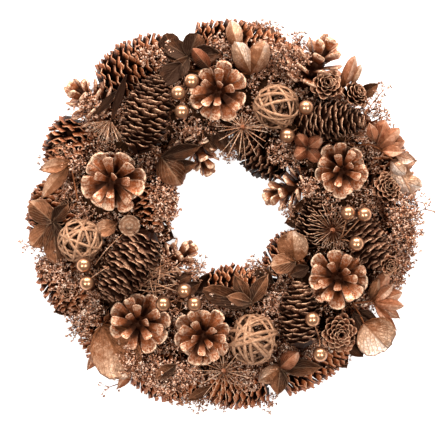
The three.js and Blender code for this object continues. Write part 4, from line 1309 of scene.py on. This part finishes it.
NEST, NEST_TWIGS = (-60, -54), 22
BRACT, BRACT_STRIPS = (-98, 80, 50), 34
STRAY_WIRE_RADIUS, STRIP_WIDTH = 0.3, 0.5
STRAY_WIRES = [
    [(-87, -16, 60), (-98, -27, 76), (-103, -33, 76), (-110, -42, 66)],
    [(-98, -43, 72), (-108, -49, 77), (-116, -55, 64)],
    [(-79, -18, 60), (-71, -33, 76), (-62, -52, 58)],
]


def twiggy_bits():
    """A nest of fine twigs, a fan of split bract and three stray wires."""
    chance = random.Random(12)
    parts = []
    for _ in range(NEST_TWIGS):
        angle, bend = chance.uniform(0, math.tau), chance.uniform(-9, 9)
        far = chance.uniform(12, 24)
        x, y = NEST[0] + chance.uniform(-9, 9), NEST[1] + chance.uniform(-9, 9)
        dx, dy = math.cos(angle), math.sin(angle)
        route = [
            (x - dx * far * 0.7, y - dy * far * 0.7, chance.uniform(40, 48)),
            (x - dy * bend, y + dx * bend, chance.uniform(54, 62)),
            (x + dx * far, y + dy * far, chance.uniform(46, 58)),
        ]
        tone = chance.uniform(-1.4, 0.4)
        parts.append(tube("twig", route, STEM_RADIUS, hair, tip=0.9, tone=tone, taper=0.6))
    places = []
    for _ in range(BRACT_STRIPS):
        turn = posed(BRACT, chance.uniform(185, 310), chance.uniform(-12, 30), chance.uniform(0, 360))
        length = chance.uniform(15, 23)
        places.append(turn @ Matrix.Diagonal((STRIP_WIDTH * MM, STRIP_WIDTH * MM, length * MM, 1)))
    parts.append(gathered("split_bract", templates["bristle"], places, hair))
    parts += [tube("wire", route, STRAY_WIRE_RADIUS, hair, tip=1.0, tone=1.0) for route in STRAY_WIRES]
    return joined("fine_twigs", parts)


dress(twiggy_bits(), "bristle")

# Floret stems that reach out between the cones: (angle, from, to, height, stems).
REACHES = [
    (35, 118, 157, 30, 4), (41, 118, 158, 26, 4), (210, 120, 161, 22, 6), (317, 118, 152, 22, 6),
    (262, 124, 163, 18, 6), (163, 124, 164, 24, 5), (137, 124, 160, 24, 5), (242, 70, 54, 30, 6),
    (5, 74, 58, 28, 5), (85, 74, 56, 28, 6), (256, 124, 165, 16, 6), (266, 126, 168, 16, 7),
    (275, 126, 167, 16, 6), (70, 126, 166, 26, 6), (76, 126, 167, 26, 6), (64, 126, 158, 24, 5),
    (309, 126, 161, 16, 6), (300, 76, 52, 30, 5),
]


def reaching_stems():
    """Stems that leave the ring at a slant, with three sprigs each."""
    chance = random.Random(17)
    parts, places = [], []
    for angle, start, end, height, count in REACHES:
        for _ in range(count):
            turn = angle + chance.uniform(-5, 5)
            root = on_circle(start, turn, height - 8)
            far, bent = end + chance.uniform(-9, 3), turn + chance.uniform(-4, 4)
            tip = on_circle(far, bent, height + chance.uniform(-8, 8))
            along = (spot(*tip) - spot(*root)).normalized()
            parts.append(tube("stem", [root, tip], STEM_RADIUS, twig_bark, tip=0.7))
            for share in (0.35, 0.6, 0.85):
                lean = along + Vector([chance.uniform(-0.7, 0.7) for _ in range(3)]) + UP * 0.3
                at = Matrix.Translation(spot(*root).lerp(spot(*tip), share))
                places.append(at @ towards(lean) @ Matrix.Scale(chance.uniform(8, 11) * MM, 4))
    for k, sprig in enumerate(sprigs):
        parts.append(gathered(f"reach_{k}", sprig, places[k::3], dried_floret))
    return joined("reaching_florets", parts)


dress(reaching_stems(), "dried_floret")

# Single floret stems, from their root to their end.
WISP_RADIUS, WISP_SPRIG = 0.45, 10
WISPS = [
    ((148, -4, 30), (167, 4, 34)),
    ((-148, -24, 34), (-166, -26, 34)),
    ((117, 86, 52), (131, 103, 48)),
    ((-70, -138, 24), (-98, -147, 22)),
    ((20, -146, 24), (34, -160, 22)),
]


def wisps():
    """Single floret stems that stand out from the wreath's edge, with two sprigs each."""
    chance = random.Random(4)
    parts = []
    for root, end in WISPS:
        middle = [(a + b) / 2 + chance.uniform(-2, 2) for a, b in zip(root, end)]
        parts.append(tube("stem", [root, middle, end], WISP_RADIUS, twig_bark, tip=0.7))
        along = spot(*end) - spot(*root)
        turn, size = towards(along), Matrix.Scale(WISP_SPRIG * MM, 4)
        places = [Matrix.Translation(spot(*at)) @ turn @ size for at in (middle, end)]
        parts.append(gathered("wisp", sprigs[len(parts) % 3], places, dried_floret))
    return joined("floret_wisps", parts)


dress(wisps(), "dried_floret")

# Dark leaves as painted shade.

SHADE_LEAF_COUNT = 150
SHADE_LEAF_ROOTS = (116, 90)  # how far from the middle they leave the ring, outwards and inwards


def litter():
    """Dark leaves tucked under the cones as painted shade in the gaps: two in three outside the ring, the
    others round the hole.
    """
    chance = random.Random(31)
    placed = []
    for i in range(SHADE_LEAF_COUNT):
        outside = i % 3 > 0
        angle = chance.uniform(0, 360)
        start = SHADE_LEAF_ROOTS[0] if outside else SHADE_LEAF_ROOTS[1]
        length = chance.uniform(26, 36) if outside else -chance.uniform(20, 26)
        root = on_circle(start, angle, chance.uniform(4, 20))
        tip = on_circle(start + length, angle + chance.uniform(-9, 9), chance.uniform(3, 20))
        placed.append((root, tip, chance.uniform(14, 20), "leaf", chance.uniform(0, 0.2)))
    return joined("painted_shade_leaves", leaves("litter", placed))


dress(litter(), "dry_leaf")

# The straw ring.

FLAT_SHARE = 0.62  # how far behind its middle the ring is flat, as a share of its radius


def straw_ring():
    """Straw bound into a ring, flat behind."""
    bpy.ops.mesh.primitive_torus_add(
        major_segments=120, minor_segments=24, major_radius=RING_RADIUS * MM, minor_radius=RING_WIDTH / 2 * MM
    )
    ring = bpy.context.object
    low = -FLAT_SHARE * RING_WIDTH / 2 * MM
    bpy.ops.object.mode_set(mode="EDIT")
    pick(lambda v: v.co.z < low)
    bpy.ops.transform.resize(value=(1, 1, 0), center_override=(0, 0, low))
    bpy.ops.mesh.select_all(action="SELECT")
    bpy.ops.transform.translate(value=(0, 0, -low))
    height = RING_HEIGHT * MM / (RING_WIDTH / 2 * MM - low)
    bpy.ops.transform.resize(value=(1, 1, height), center_override=(0, 0, 0))
    bpy.ops.object.mode_set(mode="OBJECT")
    ring.data.transform(Matrix.Translation(spot(0, 0, 0)))
    ring.data.materials.append(rye_straw())
    ring.data.shade_smooth()
    return ring


dress(joined("straw_ring_bound", [straw_ring()]), "straw", "straw_ring")

# The templates have done their work.

for piece in [*templates.values(), *sprigs, *vine_templates]:
    bpy.data.objects.remove(piece)

# The stage, the lights and the camera.

FLOOR_SIZE, FLOOR_LEVEL = 8, -0.0004  # metres, and just under the wreath
ROOM_COLOR, ROOM_STRENGTH = "#fff0e6", 0.12
# The lamps, each with its place, width and depth in metres and its power in watts.
LAMPS = {
    "top_softbox": ((0, 1.3, 0.85), 1.9, 0.45, 47),
    "left_lamp": ((-0.73, -0.33, 1.5), 0.22, 0.22, 13),
    "right_lamp": ((0.73, -0.33, 1.5), 0.22, 0.22, 13),
}


def stage():
    """White paper under the wreath, a faint warm light from all sides, and the lamps."""
    bpy.ops.mesh.primitive_plane_add(size=FLOOR_SIZE, location=(0, 0, FLOOR_LEVEL))
    paper = bpy.context.object
    paper.name = "studio_floor"
    paper.data.materials.append(studio_paper())
    world = bpy.data.worlds.new("studio")
    world.use_nodes = True
    back = world.node_tree.nodes["Background"]
    back.inputs["Color"].default_value = rgba(ROOM_COLOR)
    back.inputs["Strength"].default_value = ROOM_STRENGTH
    bpy.context.scene.world = world
    for name, lamp in LAMPS.items():
        softbox(name, *lamp)
    bpy.context.scene.view_settings.view_transform = "Standard"


stage()
overhead_camera()
